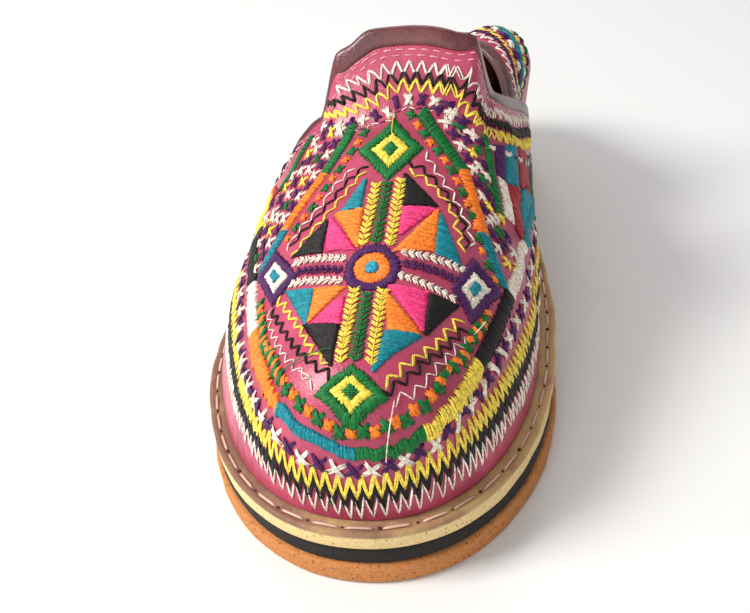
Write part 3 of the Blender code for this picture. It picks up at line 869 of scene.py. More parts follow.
def mesh_piece(name, points, quads, materials, smooth=True):
    """An object at the origin from points and quads given as whole arrays."""
    mesh = bpy.data.meshes.new(name)
    mesh.vertices.add(len(points))
    mesh.vertices.foreach_set("co", np.asarray(points, dtype=np.float32).ravel())
    mesh.loops.add(quads.size)
    mesh.loops.foreach_set("vertex_index", np.asarray(quads, dtype=np.int32).ravel())
    mesh.polygons.add(len(quads))
    mesh.polygons.foreach_set("loop_start", np.arange(0, quads.size, 4, dtype=np.int32))
    mesh.update(calc_edges=True)
    mesh.validate()
    for material in materials:
        mesh.materials.append(material)
    if smooth:
        mesh.shade_smooth()
    piece = bpy.data.objects.new(name, mesh)
    bpy.context.scene.collection.objects.link(piece)
    return piece


def grid_quads(rows, columns, close_rows=False, close_columns=False):
    """Quads of a grid of points, facing out of rows times columns, joined round where it closes."""
    index = np.arange(rows * columns).reshape(rows, columns)
    if close_rows:
        index = np.concatenate((index, index[:1]))
    if close_columns:
        index = np.concatenate((index, index[:, :1]), axis=1)
    return np.stack((index[:-1, :-1], index[:-1, 1:], index[1:, 1:], index[1:, :-1]), -1).reshape(-1, 4)


def merge_close(piece):
    """Joins the points that fall together at a pole or a seam."""
    bm = bmesh.new()
    bm.from_mesh(piece.data)
    bmesh.ops.remove_doubles(bm, verts=bm.verts, dist=1e-6)
    bmesh.ops.recalc_face_normals(bm, faces=bm.faces)
    bm.to_mesh(piece.data)
    bm.free()


def shell_piece(name, outer, inner, materials):
    """A closed shell between two grids that lie over each other, with its edges capped. The inner face and
    the caps take the second material."""
    rows, columns = outer.shape[:2]
    ring = np.concatenate((outer, inner[::-1]))
    quads = grid_quads(2 * rows, columns, close_rows=True)
    index = np.arange(2 * rows * columns).reshape(2 * rows, columns)
    caps = []
    for end in (0, columns - 1):
        here = index[:rows, end]
        under = index[::-1][:rows, end]
        caps.append(np.stack((here[:-1], here[1:], under[1:], under[:-1]), -1))
    quads = np.concatenate([quads] + caps)
    piece = mesh_piece(name, ring.reshape(-1, 3), quads, materials)
    face_rows = (np.arange(len(quads)) // (columns - 1)).astype(int)
    second = (face_rows >= rows - 1).astype(np.int32) * (len(materials) - 1)
    piece.data.polygons.foreach_set("material_index", second)
    bm = bmesh.new()
    bm.from_mesh(piece.data)
    bmesh.ops.recalc_face_normals(bm, faces=bm.faces)
    bm.to_mesh(piece.data)
    bm.free()
    piece.data.set_sharp_from_angle(angle=math.radians(50))
    return piece


def new_group(name, inputs, outputs):
    """An empty shader node group with named inputs and outputs."""
    group = bpy.data.node_groups.new(name, "ShaderNodeTree")
    for label, kind, value in inputs:
        socket = group.interface.new_socket(name=label, in_out="INPUT", socket_type=kind)
        socket.default_value = value
    for label, kind in outputs:
        group.interface.new_socket(name=label, in_out="OUTPUT", socket_type=kind)
    return group


def node(tree, kind, **values):
    """A node with its properties, and its numbered or named inputs, set."""
    made = tree.nodes.new(kind)
    for key, value in values.items():
        if key.startswith("in_"):
            label = key[3:].replace("_", " ")
            made.inputs[int(label) if label.isdigit() else label].default_value = value
        else:
            setattr(made, key, value)
    return made


def wire(tree, *links):
    """Links between nodes, each given as source, output, target and input."""
    for source, output, target, socket in links:
        tree.links.new(source.outputs[output], target.inputs[socket])


def group_node(tree, name, maker, **values):
    """A node of a shared group, which is made on its first use, with its inputs set."""
    made = tree.nodes.new("ShaderNodeGroup")
    made.node_tree = bpy.data.node_groups.get(name) or maker()
    for label, value in values.items():
        made.inputs[label].default_value = value
    return made


def object_noise(tree, **values):
    """A noise texture on the object's own coordinates."""
    place = tree.nodes.new("ShaderNodeTexCoord")
    noise = node(tree, "ShaderNodeTexNoise", **values)
    wire(tree, (place, "Object", noise, "Vector"))
    return noise


def grain_group():
    """Fine leather grain: cells for pores, noise for the creases between them, and a slow mottle mask."""
    group = new_group(
        "leather grain",
        [("Scale", "NodeSocketFloat", 900.0), ("Mottle", "NodeSocketFloat", 60.0)],
        [("Height", "NodeSocketFloat"), ("Mask", "NodeSocketFloat")],
    )
    ends = group.nodes.new("NodeGroupInput"), group.nodes.new("NodeGroupOutput")
    place = group.nodes.new("ShaderNodeTexCoord")
    cells = node(group, "ShaderNodeTexVoronoi", feature="DISTANCE_TO_EDGE")
    noise = node(group, "ShaderNodeTexNoise", in_Detail=4.0, in_Roughness=0.6)
    half = node(group, "ShaderNodeMath", operation="MULTIPLY", in_1=0.45)
    mix = node(group, "ShaderNodeMath", operation="ADD")
    slow = node(group, "ShaderNodeTexNoise", in_Detail=3.0, in_Roughness=0.55)
    wire(
        group,
        (place, "Object", cells, "Vector"),
        (place, "Object", noise, "Vector"),
        (place, "Object", slow, "Vector"),
        (ends[0], "Scale", cells, "Scale"),
        (ends[0], "Scale", half, 0),
        (half, 0, noise, "Scale"),
        (ends[0], "Mottle", slow, "Scale"),
        (cells, "Distance", mix, 0),
        (noise, "Fac", mix, 1),
        (mix, 0, ends[1], "Height"),
        (slow, "Fac", ends[1], "Mask"),
    )
    return group


def speck_group():
    """Specks and pits: small cells cut off at a size, and a finer noise, both as masks."""
    group = new_group(
        "specks",
        [("Scale", "NodeSocketFloat", 700.0), ("Share", "NodeSocketFloat", 0.25)],
        [("Specks", "NodeSocketFloat"), ("Dust", "NodeSocketFloat")],
    )
    ends = group.nodes.new("NodeGroupInput"), group.nodes.new("NodeGroupOutput")
    place = group.nodes.new("ShaderNodeTexCoord")
    cells = node(group, "ShaderNodeTexVoronoi", feature="F1")
    cut = node(group, "ShaderNodeMath", operation="LESS_THAN")
    dust = node(group, "ShaderNodeTexNoise", in_Scale=1400.0, in_Detail=4.0, in_Roughness=0.7)
    wire(
        group,
        (place, "Object", cells, "Vector"),
        (place, "Object", dust, "Vector"),
        (ends[0], "Scale", cells, "Scale"),
        (cells, "Distance", cut, 0),
        (ends[0], "Share", cut, 1),
        (cut, 0, ends[1], "Specks"),
        (dust, "Fac", ends[1], "Dust"),
    )
    return group


def new_material(name, roughness, coat=0.0, specular=0.5):
    """A material with its Principled shader, tree and links ready."""
    material = bpy.data.materials.new(name)
    material.use_nodes = True
    shader = material.node_tree.nodes["Principled BSDF"]
    shader.inputs["Roughness"].default_value = roughness
    shader.inputs["Coat Weight"].default_value = coat
    shader.inputs["Coat Roughness"].default_value = 0.25
    shader.inputs["Specular IOR Level"].default_value = specular
    return material, material.node_tree, shader


def ramp(tree, stops):
    """A colour ramp with its stops."""
    made = tree.nodes.new("ShaderNodeValToRGB")
    while len(made.color_ramp.elements) < len(stops):
        made.color_ramp.elements.new(0.5)
    for element, (place, colour) in zip(made.color_ramp.elements, stops):
        element.position = place
        element.color = (*colour, 1.0)
    return made


def bumped(tree, shader, source, output, distance):
    """A bump from a height output of a node into the shader's normal."""
    bump = node(tree, "ShaderNodeBump", in_Strength=1.0, in_Distance=distance)
    wire(tree, (source, output, bump, "Height"), (bump, "Normal", shader, "Normal"))


def leather_material(name, dark, mid, light, roughness, coat):
    """Leather: a mottled colour between three tones, with pores and fine creases in its surface."""
    material, tree, shader = new_material(name, roughness, coat)
    grain = group_node(tree, "leather grain", grain_group, Scale=1100.0, Mottle=70.0)
    tones = ramp(tree, ((0.30, dark), (0.52, mid), (0.75, light)))
    wire(tree, (grain, "Mask", tones, "Fac"), (tones, "Color", shader, "Base Color"))
    bumped(tree, shader, grain, "Height", 0.00012)
    return material


def thread_material():
    """Embroidery thread: the colour on its points, lighter and darker in fine grains as its strands twist,
    with painted glints where the grains turn brighter than the thread's colour.
    """
    material, tree, shader = new_material("embroidery thread", 0.38, 0.0, 0.36)
    colour = node(tree, "ShaderNodeAttribute", attribute_name="thread")
    noise = object_noise(tree, in_Scale=1500.0, in_Detail=3.0, in_Roughness=0.7)
    # Painted glints: the brightest grains reach 1.6 times the thread's colour, besides the twist's darker and
    # lighter tone
    tone = node(tree, "ShaderNodeMapRange", in_1=0.36, in_2=0.66, in_3=0.68, in_4=1.60)
    shade = node(tree, "ShaderNodeVectorMath", operation="SCALE")
    wire(
        tree,
        (noise, "Fac", tone, "Value"),
        (colour, "Color", shade, 0),
        (tone, "Result", shade, "Scale"),
        (shade, "Vector", shader, "Base Color"),
    )
    bumped(tree, shader, noise, "Fac", 0.00025)
    return material


def layer_material(name, base, speck, share, scale, roughness, depth=0.00015):
    """A sole layer: its own colour with specks of another, dusty, with a rough cut face."""
    material, tree, shader = new_material(name, roughness, 0.0, 0.3)
    specks = group_node(tree, "specks", speck_group, Scale=scale, Share=share)
    tones = ramp(tree, ((0.30, base[0]), (0.70, base[1])))
    mix = node(tree, "ShaderNodeMix", data_type="RGBA")
    mix.inputs["B"].default_value = (*speck, 1.0)
    wire(
        tree,
        (specks, "Dust", tones, "Fac"),
        (specks, "Specks", mix, "Factor"),
        (tones, "Color", mix, "A"),
        (mix, "Result", shader, "Base Color"),
    )
    bumped(tree, shader, specks, "Dust", depth)
    return material


def welt_material():
    """The welt layer: cream with brown specks on its cut side, and on its upper face worn brown leather that
    turns golden where it is rubbed, with painted light that makes the upper face lighter towards the medial
    side and painted shade that makes it darker towards the lateral side."""
    material, tree, shader = new_material("welt layer", 0.62, 0.05, 0.35)
    specks = group_node(tree, "specks", speck_group, Scale=620.0, Share=0.16)
    cream = ramp(tree, ((0.32, srgb(222, 190, 128)), (0.60, srgb(243, 216, 156))))
    side = node(tree, "ShaderNodeMix", data_type="RGBA")
    side.inputs["B"].default_value = (*srgb(176, 132, 80), 1.0)
    place = tree.nodes.new("ShaderNodeTexCoord")
    parts = tree.nodes.new("ShaderNodeSeparateXYZ")
    wear = node(tree, "ShaderNodeTexNoise", in_Scale=85.0, in_Detail=5.0, in_Roughness=0.65)
    # Painted light and shade: the upper face's tone rises from the lateral side to the medial side
    medial_painted_light = node(tree, "ShaderNodeMapRange", in_1=-0.03, in_2=0.05, in_3=-0.17, in_4=0.22)
    # Real wear from the noise, plus the painted light and shade, picks the upper face's tone
    wear_and_painted_light = node(tree, "ShaderNodeMath", operation="ADD")
    top = ramp(tree, ((0.38, srgb(136, 98, 80)), (0.52, srgb(168, 128, 96)), (0.68, srgb(200, 164, 110))))
    upper = node(tree, "ShaderNodeMapRange", in_1=WELT_TOP - 0.0011, in_2=WELT_TOP - 0.0005)
    mix = node(tree, "ShaderNodeMix", data_type="RGBA")
    wire(
        tree,
        (specks, "Dust", cream, "Fac"),
        (specks, "Specks", side, "Factor"),
        (cream, "Color", side, "A"),
        (place, "Object", parts, "Vector"),
        (place, "Object", wear, "Vector"),
        (parts, "X", medial_painted_light, "Value"),
        (wear, "Fac", wear_and_painted_light, 0),
        (medial_painted_light, "Result", wear_and_painted_light, 1),
        (wear_and_painted_light, 0, top, "Fac"),
        (parts, "Z", upper, "Value"),
        (upper, "Result", mix, "Factor"),
        (side, "Result", mix, "A"),
        (top, "Color", mix, "B"),
        (mix, "Result", shader, "Base Color"),
    )
    bumped(tree, shader, specks, "Dust", 0.00015)
    return material


def waxed_material():
    """Thick waxed thread: the colour on its points under a glossy coat."""
    material, tree, shader = new_material("waxed thread", 0.30, 0.5)
    colour = node(tree, "ShaderNodeAttribute", attribute_name="thread")
    noise = object_noise(tree, in_Scale=1500.0, in_Detail=2.0)
    wire(tree, (colour, "Color", shader, "Base Color"))
    bumped(tree, shader, noise, "Fac", 0.0001)
    return material


def plain_material(name, colour, roughness):
    """A dull even colour with a fine noise in its tone and surface."""
    material, tree, shader = new_material(name, roughness, 0.0, 0.4)
    noise = object_noise(tree, in_Scale=900.0, in_Detail=3.0)
    tones = ramp(tree, ((0.3, colour * 0.75), (0.7, colour * 1.15)))
    wire(tree, (noise, "Fac", tones, "Fac"), (tones, "Color", shader, "Base Color"))
    bumped(tree, shader, noise, "Fac", 0.00005)
    return material


MATERIAL_MAKERS = {
    "thread": thread_material,
    "pink leather": lambda: leather_material(
        "pink leather", srgb(164, 52, 82), srgb(186, 66, 98), srgb(202, 82, 114), 0.36, 0.22
    ),
    "lining": lambda: leather_material(
        "lining leather", srgb(120, 88, 66), srgb(146, 110, 84), srgb(166, 130, 100), 0.6, 0.0
    ),
    "burgundy leather": lambda: leather_material(
        "burgundy leather", srgb(74, 28, 34), srgb(98, 42, 46), srgb(126, 64, 66), 0.33, 0.3
    ),
    "brown edge leather": lambda: leather_material(
        "brown edge leather", srgb(60, 30, 32), srgb(84, 44, 44), srgb(112, 74, 70), 0.40, 0.15
    ),
    "footbed leather": lambda: leather_material(
        "footbed leather", srgb(120, 84, 62), srgb(150, 108, 80), srgb(176, 136, 104), 0.5, 0.05
    ),
    "crepe": lambda: layer_material(
        "crepe outsole", (srgb(184, 112, 60), srgb(228, 158, 96)), srgb(150, 92, 54), 0.17, 520.0, 0.85,
        0.0004,
    ),
    "black rubber": lambda: layer_material(
        "black rubber", (srgb(26, 24, 24), srgb(46, 43, 41)), srgb(78, 72, 68), 0.09, 800.0, 0.7
    ),
    "welt": welt_material,
    "waxed thread": waxed_material,
    # Painted shade of the needle holes: a dark brown in place of each hole's depth
    "needle hole shade": lambda: plain_material("needle hole shade", srgb(84, 54, 40), 0.9),
}


def material(key):
    """The finish of that key, made on its first use."""
    if key not in FINISHED:
        FINISHED[key] = MATERIAL_MAKERS[key]()
    return FINISHED[key]


FINISHED = {}


# Rows of the hem, in millimetres: where each row's lower edge lies above the sole, at distances along the hem
# line from the toe's middle, and how high its zigzag stands
HEM_ROW_NAMES = ("at", "white", "black", "yellow", "tall", "cross", "band", "band_width")
HEM_ROWS = (
    (-178, 8.0, 12.0, 15.5, 6.0, 25.0, 33.0, 6.1),
    (-110, 12.5, 15.5, 18.5, 6.0, 26.0, 33.5, 6.1),
    (-75, 13.0, 16.0, 18.5, 5.5, 25.0, 32.0, 4.5),
    (-60, 12.5, 15.5, 18.0, 5.0, 22.0, 29.5, 4.4),
    (-45, 10.5, 13.5, 16.5, 5.0, 20.3, 27.6, 4.4),
    (-30, 6.5, 9.5, 13.0, 6.0, 19.0, 25.8, 4.2),
    (-20, 2.5, 5.5, 9.5, 6.6, 16.0, 23.0, 3.8),
    (-10, 0.6, 3.4, 6.6, 6.8, 13.4, 20.4, 3.4),
    (0, 0.3, 2.8, 5.8, 6.8, 13.0, 18.4, 3.2),
    (10, 0.5, 3.2, 6.2, 6.8, 13.2, 17.4, 3.2),
    (20, 1.0, 4.6, 7.9, 6.8, 14.8, 19.0, 4.0),
    (30, 3.0, 6.4, 9.6, 6.4, 17.2, 21.2, 4.4),
    (45, 4.2, 8.4, 11.6, 5.8, 19.2, 24.0, 4.4),
    (60, 4.8, 9.6, 12.2, 5.6, 20.3, 26.0, 4.5),
    (80, 6.0, 9.8, 12.6, 5.6, 21.0, 28.0, 4.5),
    (120, 7.0, 10.5, 13.5, 5.6, 22.0, 30.0, 4.5),
    (174, 6.0, 9.5, 12.5, 5.6, 21.0, 30.0, 4.5),
)

# Zigzag rows: colour, strands, radius, shift in pitches, and how far the strands lie apart
HEM_ZIGZAGS = (
    ("white", 1, 0.25, 0.00, 0.00),
    ("black", 2, 0.27, 0.50, 0.42),
    ("yellow", 2, 0.25, 0.25, 0.42),
)

# Satin border along the hem, in hem millimetres. Columns: end of each length, colour
BORDER = (
    (-140, "green"),
    (-122, "orange"),
    (-104, "yellow"),
    (-76, "black"),
    (-54, "white"),
    (-22, "orange"),
    (2, "teal"),
    (20, "green"),
    (46, "yellow"),
    (75, "black"),
    (97, "white"),
    (122, "teal"),
    (174, "green"),
)

# Satin border that rises to the tab on each side. Columns: colour, places it runs through in plan millimetres
INNER_BORDER = (
    ("green", ((-5.8, -32.4), (-12.1, -45.0))),
    ("orange", ((-12.1, -45.0), (-21.5, -57.5))),
    ("teal", ((-21.5, -57.5), (-27.0, -66.1))),
    ("green", ((13.2, -31.2), (18.0, -36.2), (25.2, -43.2))),
    ("orange", ((25.2, -43.2), (28.2, -49.5), (31.2, -57.6))),
    ("teal", ((31.2, -57.6), (33.6, -61.6), (36.9, -66.6))),
)
INNER_BORDER_HALF = 1.75

# Chains of small crosses beside the inner borders, in plan millimetres
CHAINS = (
    ((-2.2, -35.3), (-8.1, -46.1), (-13.4, -55.0), (-19.6, -61.6)),
    ((10.4, -32.0), (15.3, -37.6), (21.5, -43.8), (25.5, -49.6), (29.0, -56.0), (31.0, -62.4), (34.6, -67.4)),
)

# The chain along the hem's satin border: its height at distances along the hem, in millimetres
HEM_CHAIN_COLUMNS = ("at", "height")
HEM_CHAIN = (
    (-62, 33.4),
    (-45, 31.0),
    (-30, 30.6),
    (-20, 28.2),
    (-13, 26.6),
    (-7, 24.4),
    (0, 23.2),
    (8, 23.0),
    (14, 23.8),
    (20, 25.0),
    (27, 26.6),
    (35, 28.6),
    (43, 28.6),
    (51, 30.0),
    (62, 30.2),
)
CHAIN_PITCH = 2.9

# Lattices of crosses on the upper sides, in plan millimetres, with the colours that follow one another
LATTICES = (
    (("white", "purple"), ((-9.4, -32.6), (-15.6, -43.6), (-24.6, -55.6), (-29.4, -62.6))),
    (
        ("yellow", "purple", "green", "white"),
        ((-12.2, -31.4), (-18.6, -41.4), (-27.0, -52.8), (-30.4, -58.2)),
    ),
    (("purple", "white"), ((-15.2, -29.6), (-21.6, -39.2), (-29.0, -50.0), (-32.2, -55.4))),
    (("white", "yellow", "purple"), ((-18.2, -28.0), (-24.6, -37.2), (-31.0, -46.4), (-33.6, -51.0))),
    (("purple", "white"), ((-30.6, -37.6), (-33.0, -42.4), (-34.6, -47.0))),
    (("purple", "white"), ((17.6, -30.4), (21.6, -34.4), (25.8, -38.8), (29.2, -45.0), (34.6, -58.0))),
    (
        ("white", "green", "purple", "yellow"),
        ((20.8, -30.4), (25.0, -34.2), (28.6, -39.4), (31.8, -47.6), (37.0, -59.0)),
    ),
    (
        ("purple", "white", "green"),
        ((24.4, -31.0), (27.6, -33.6), (30.2, -39.2), (33.0, -46.6), (36.2, -54.6)),
    ),
    (("yellow", "purple", "white"), ((35.2, -47.6), (37.8, -52.0), (39.4, -56.6))),
)

# Satin patches round the ring, in plan millimetres. Columns: x1, y1, x2, y2, x3, y3, colour, angle in degrees
PATCHES = (
    (0.5, -50.5, -5.0, -60.0, 0.5, -60.0, "teal", -4),
    (-6.5, -60.5, 1.0, -60.5, 1.5, -72.5, "orange", -4),
    (-7.5, -61.0, -7.5, -71.5, 1.0, -72.5, "pink", -4),
    (-8.0, -61.5, -17.0, -69.0, -8.0, -71.5, "black", -6),
    (10.5, -49.0, 11.0, -59.0, 20.0, -57.0, "black", 4),
    (11.0, -59.5, 20.0, -58.0, 11.5, -68.0, "pink", 4),
    (20.0, -58.0, 10.5, -73.0, 20.5, -70.0, "orange", 4),
    (20.5, -58.5, 20.5, -70.5, 27.0, -70.5, "teal", 4),
    (-16.5, -79.5, -8.0, -82.5, -8.0, -93.5, "teal", -4),
    (-8.0, -82.5, 0.5, -84.0, -7.5, -93.0, "orange", -4),
    (-7.0, -93.5, 0.5, -87.0, 1.0, -95.5, "pink", -4),
    (-8.5, -93.5, 1.0, -96.0, 1.0, -108.0, "black", -6),
    (10.5, -83.5, 20.0, -82.5, 20.0, -94.0, "pink", 4),
    (10.0, -85.0, 12.5, -96.5, 20.0, -95.0, "orange", 4),
    (20.3, -82.5, 27.0, -82.0, 20.5, -95.0, "black", 4),
    (12.0, -97.0, 20.0, -95.5, 10.5, -109.0, "teal", 6),
)

# Diamonds of three nested outlines, in plan millimetres. Columns: x and y of the far, lateral, near and
# medial corner, then the colours of outline, middle and core
DIAMONDS = (
    (5.8, -32.5, -3.4, -41.3, 6.2, -52.0, 14.8, -40.8, "green", "yellow", "green"),
    (6.0, -107.4, -2.6, -112.4, 6.6, -118.2, 14.8, -112.4, "green", "yellow", "green"),
    (-23.0, -62.6, -28.2, -67.2, -20.0, -81.6, -13.8, -76.4, "purple", "white", "teal"),
    (29.2, -66.4, 24.8, -78.4, 30.4, -84.2, 36.8, -68.6, "purple", "white", "teal"),
)
DIAMOND_MIDDLE = 0.60
DIAMOND_CORE = 0.24

# The ring's middle in plan millimetres, and its bands. Columns: outer radius, inner radius, colour
RING_X = 6.0
RING_Y = -78.4
RINGS = (
    (7.0, 4.7, "purple"),
    (4.7, 1.7, "orange"),
)

# Ears of wheat between ring and diamonds, in plan millimetres. Columns: x, y, to_x, to_y, colour
WHEAT = (
    (2.6, -71.6, 3.6, -52.5, "yellow"),
    (5.9, -71.2, 6.3, -53.0, "green"),
    (9.5, -71.6, 9.9, -51.5, "yellow"),
    (3.2, -107.2, 2.8, -86.2, "yellow"),
    (6.5, -106.8, 5.9, -86.6, "green"),
    (10.2, -107.2, 9.6, -86.2, "yellow"),
    (-0.9, -75.2, -15.2, -71.4, "white"),
    (-1.3, -78.5, -14.6, -74.6, "purple"),
    (-0.6, -82.0, -14.4, -77.9, "white"),
    (12.4, -73.0, 26.6, -71.6, "white"),
    (13.0, -76.0, 26.4, -75.2, "purple"),
    (12.4, -79.7, 26.2, -80.8, "white"),
)

# Ears: pitch, leaf length and thread radius in millimetres
EAR_LENGTHWISE = (1.75, 2.2, 0.25)
EAR_ACROSS = (1.75, 1.7, 0.21)

# Zigzag lines round the middle: colour, swing, radius in millimetres, and the places that each passes in plan
ZIGZAGS = (
    (
        "yellow", 0.85, 0.25,
        ((-0.3, -48.3), (-2.7, -51.7), (-7.5, -58.2), (-9.5, -61.0), (-13.2, -64.4), (-17.0, -68.8)),
    ),
    (
        "black", 0.85, 0.28,
        ((0.0, -46.2), (-5.3, -51.0), (-8.9, -56.3), (-12.0, -59.6), (-14.9, -62.0), (-18.3, -65.2)),
    ),
    ("white", 0.80, 0.22, ((-3.2, -46.4), (-7.8, -50.6), (-11.2, -56.6), (-15.3, -60.2), (-19.4, -65.2))),
    ("yellow", 0.95, 0.25, ((11.4, -48.3), (16.4, -49.9), (23.0, -56.0), (25.6, -62.0), (26.6, -66.6))),
    ("black", 0.95, 0.28, ((10.5, -45.6), (13.8, -46.2), (20.2, -51.2), (25.9, -58.1), (28.0, -65.3))),
    ("white", 0.90, 0.22, ((15.0, -41.8), (19.3, -47.4), (23.4, -52.2), (27.7, -58.6), (29.2, -63.8))),
    ("yellow", 0.80, 0.25, ((-18.9, -80.3), (-10.5, -92.4), (-3.8, -103.8), (0.4, -107.6))),
    ("black", 0.80, 0.28, ((-20.1, -82.6), (-13.6, -93.5), (-6.2, -104.0), (1.4, -110.3))),
    ("white", 0.75, 0.18, ((-21.0, -82.2), (-17.9, -90.8), (-11.7, -101.0), (-7.2, -106.5), (-2.6, -111.1))),
    ("yellow", 0.95, 0.25, ((27.9, -84.8), (23.9, -93.8), (19.5, -102.0), (15.4, -108.0), (13.0, -110.5))),
    ("black", 0.95, 0.28, ((28.9, -86.3), (24.6, -95.9), (20.5, -103.2), (17.0, -108.6), (12.9, -112.4))),
    ("white", 0.85, 0.18, ((30.6, -87.4), (26.8, -94.5), (22.9, -103.9), (19.6, -109.3), (15.7, -112.0))),
)

# Thread tails that hang loose, in plan millimetres. Columns: x, y, to_x, to_y, colour
TAILS = (
    (15.7, -112.0, 13.7, -119.4, "white"),
    (-12.8, -105.0, 1.4, -103.2, "green"),
    (30.6, -87.4, 33.4, -80.0, "white"),
    (-7.2, -106.5, -3.2, -109.2, "white"),
    (5.7, -31.0, 5.6, -37.0, "yellow"),
)

# Rows of the throat: how deep each row's far edge lies inside the throat's edge, in millimetres, at lengths
# along it. The rows run level across the tab, so they come off its lateral edge.
ROW_COLUMNS = ("at", "white", "black", "yellow", "cross", "line")
ROW_DEPTHS = (
    (-90, 9.5, 12.5, 15.5, 18.5, 21.0),
    (-64, 8.5, 11.5, 14.5, 17.0, 19.5),
    (-56, 3.0, 6.0, 9.0, 12.0, 14.5),
    (-46, -6.0, -5.0, -1.0, 3.0, 4.0),
    (-43, -5.0, -4.0, 1.0, 4.6, 7.0),
    (-40, -4.0, -1.0, 5.0, 9.6, 13.0),
    (-36, 0.5, 6.8, 12.4, 15.6, 19.0),
    (-32, 7.6, 12.0, 16.2, 18.8, 21.6),
    (-28, 10.4, 14.0, 17.8, 20.4, 23.0),
    (-24, 10.7, 14.6, 18.8, 21.6, 24.2),
    (-20, 12.4, 15.8, 19.6, 21.8, 24.2),
    (-15, 13.4, 16.2, 19.0, 21.0, 23.4),
    (0, 13.2, 15.8, 18.0, 20.0, 22.4),
    (13, 13.2, 16.0, 18.0, 20.2, 22.6),
    (20, 13.8, 16.4, 19.0, 21.6, 23.6),
    (30, 15.0, 17.6, 21.0, 23.6, 25.0),
    (38, 12.8, 16.8, 20.4, 24.0, 26.0),
    (50, 10.8, 15.0, 18.4, 22.0, 25.0),
    (60, 10.0, 14.0, 17.0, 20.6, 24.0),
    (90, 9.0, 12.6, 15.6, 19.0, 22.0),
)
ROW_TALL = 3.8
ROW_REACH = 84.0
ROW_NEAREST = 5.9
DASH_DEPTHS = (6.4, 8.0)


EDGE_OVERLAP = 0.0012

# The hem rows' ends, in hem millimetres
HEM_FIRST = -172.0
HEM_LAST = 168.0


def even_along(chart, level, first, last, pitch):
    """Distances along a chart's line, a pitch apart on the surface. level is the line's height, one number
    or a function of the distance."""
    dense = np.linspace(first, last, 1500)
    points, _ = chart(dense, level(dense) if callable(level) else np.full_like(dense, level))
    length = run_length(points) / MM
    count = max(int(round(length[-1] / pitch)), 2)
    return np.interp(np.linspace(0.0, length[-1], count + 1), length, dense)


def level_row(at, height):
    """Chart places at distances along a row, all of one height or each of its own."""
    return np.stack((at, np.broadcast_to(height, at.shape)), -1)


def by_turns(number, first="purple", second="white"):
    """Colours of a row whose places take two threads by turns."""
    return np.where((np.arange(number) % 2 == 0)[:, None], THREADS[first], THREADS[second])


def table_level(rows, names, name):
    """A table's column as a function of the distance along its chart."""

    def level(at):
        return smooth_table(rows, names, "at", at)[name]

    return level


def hem_level(name):
    """The height of a hem row as a function of the distance along the hem."""
    return table_level(HEM_ROWS, HEM_ROW_NAMES, name)


def within_throat(distance, height, depth=6.0):
    """Whether places of the hem chart lie well inside the throat's edge."""
    station, across = from_hem(distance * MM, height * MM)
    return station < throat_limit(across, depth * MM)


def sole_layer(name, bottom, top, inset, wander, profile, finish, seed):
    """A layer of the sole: for each station a rim profile on both sides, joined across. The rim wanders in
    and out by a sum of sines, as a knife leaves it. profile: inset, height share and drop of the rim's
    points."""
    way = 0.5 - 0.5 * np.cos(math.pi * np.linspace(0.0, 1.0, 181))
    ring = []
    for side, rows in ((LATERAL, profile), (MEDIAL, profile[::-1])):
        for extra, share, drop in rows:
            edge = inset + extra
            stations = edge + (LENGTH - 2 * edge) * way
            turn = stations * side
            rim = wander * (
                np.sin(83 * turn + seed)
                + 0.6 * np.sin(211 * turn + 2 * seed + 3 * share)
                + 0.35 * np.sin(560 * turn + seed * 5 + 9 * share)
            )
            rim = rim * (4 * way * (1 - way)) ** 0.25
            x = side_x(stations, side, edge + rim * (extra < 0.003))
            z = bottom + (top - bottom) * share + drop + toe_lift(stations)
            ring.append(np.stack((x, stations - LENGTH / 2, z), -1))
    points = np.stack(ring, axis=1)
    quads = grid_quads(*points.shape[:2], close_columns=True)
    piece = mesh_piece(name, points.reshape(-1, 3), quads, [material(finish)])
    merge_close(piece)
    piece.data.set_sharp_from_angle(angle=math.radians(55))
    return piece


# Rims of the layers, bottom up. Columns: inset in metres, share of the height, drop in metres
RIM_PROFILE = (
    (0.0030, 0.00, 0.0),
    (0.0007, 0.00, 0.0),
    (0.0002, 0.06, 0.0),
    (0.0000, 0.20, 0.0),
    (0.0001, 0.50, 0.0),
    (0.0000, 0.80, 0.0),
    (0.0002, 0.94, 0.0),
    (0.0007, 1.00, 0.0),
    (0.0030, 1.00, 0.0),
)
WELT_PROFILE = RIM_PROFILE[:-1] + (
    (0.0013, 1.00, 0.0001),
    (0.0019, 1.00, -0.0003),
    (0.0025, 1.00, -0.0003),
    (0.0031, 1.00, 0.0001),
    (0.0044, 1.00, 0.0000),
    (0.0080, 1.00, 0.0000),
)


def make_sole_layers(settings):
    """The three layers under the upper and the footbed inside it."""
    wander = settings.sole_wander
    outsole = sole_layer("crepe_outsole", 0.0, OUTSOLE, -0.0003, wander, RIM_PROFILE, "crepe", 1.0)
    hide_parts("outsole")
    bottom = OUTSOLE + GAP
    top = bottom + MIDSOLE
    midsole = sole_layer(
        "rubber_midsole", bottom, top, MIDSOLE_STEP, wander * 0.7, RIM_PROFILE, "black rubber", 2.1
    )
    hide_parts("midsole")
    welt = sole_layer("welt_layer", top + GAP, WELT_TOP, 0.0, wander, WELT_PROFILE, "welt", 3.7)
    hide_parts("welt")
    inset = STRIP + QUARTER_TUCK + QUARTER_WALL + INSOLE_EASE
    top = UPPER_BASE + INSOLE
    footbed = sole_layer("footbed", UPPER_BASE, top, inset, 0.0, RIM_PROFILE, "footbed leather", 0.5)
    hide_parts("insole")
    for piece in (outsole, midsole, welt, footbed):
        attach(piece, "root")


def outline_path(inset, pitch):
    """The sole's outline moved in by inset: its points, the length along it at each, and even distances."""
    way = 0.5 - 0.5 * np.cos(math.pi * np.linspace(0.0, 1.0, 900))
    line = outline_points(inset + (LENGTH - 2 * inset) * way, inset) - (0.0, LENGTH / 2)
    length = run_length(line)
    count = int(length[-1] / pitch)
    return line, length, np.arange(count) * length[-1] / count


STITCH_INSET = 0.0022


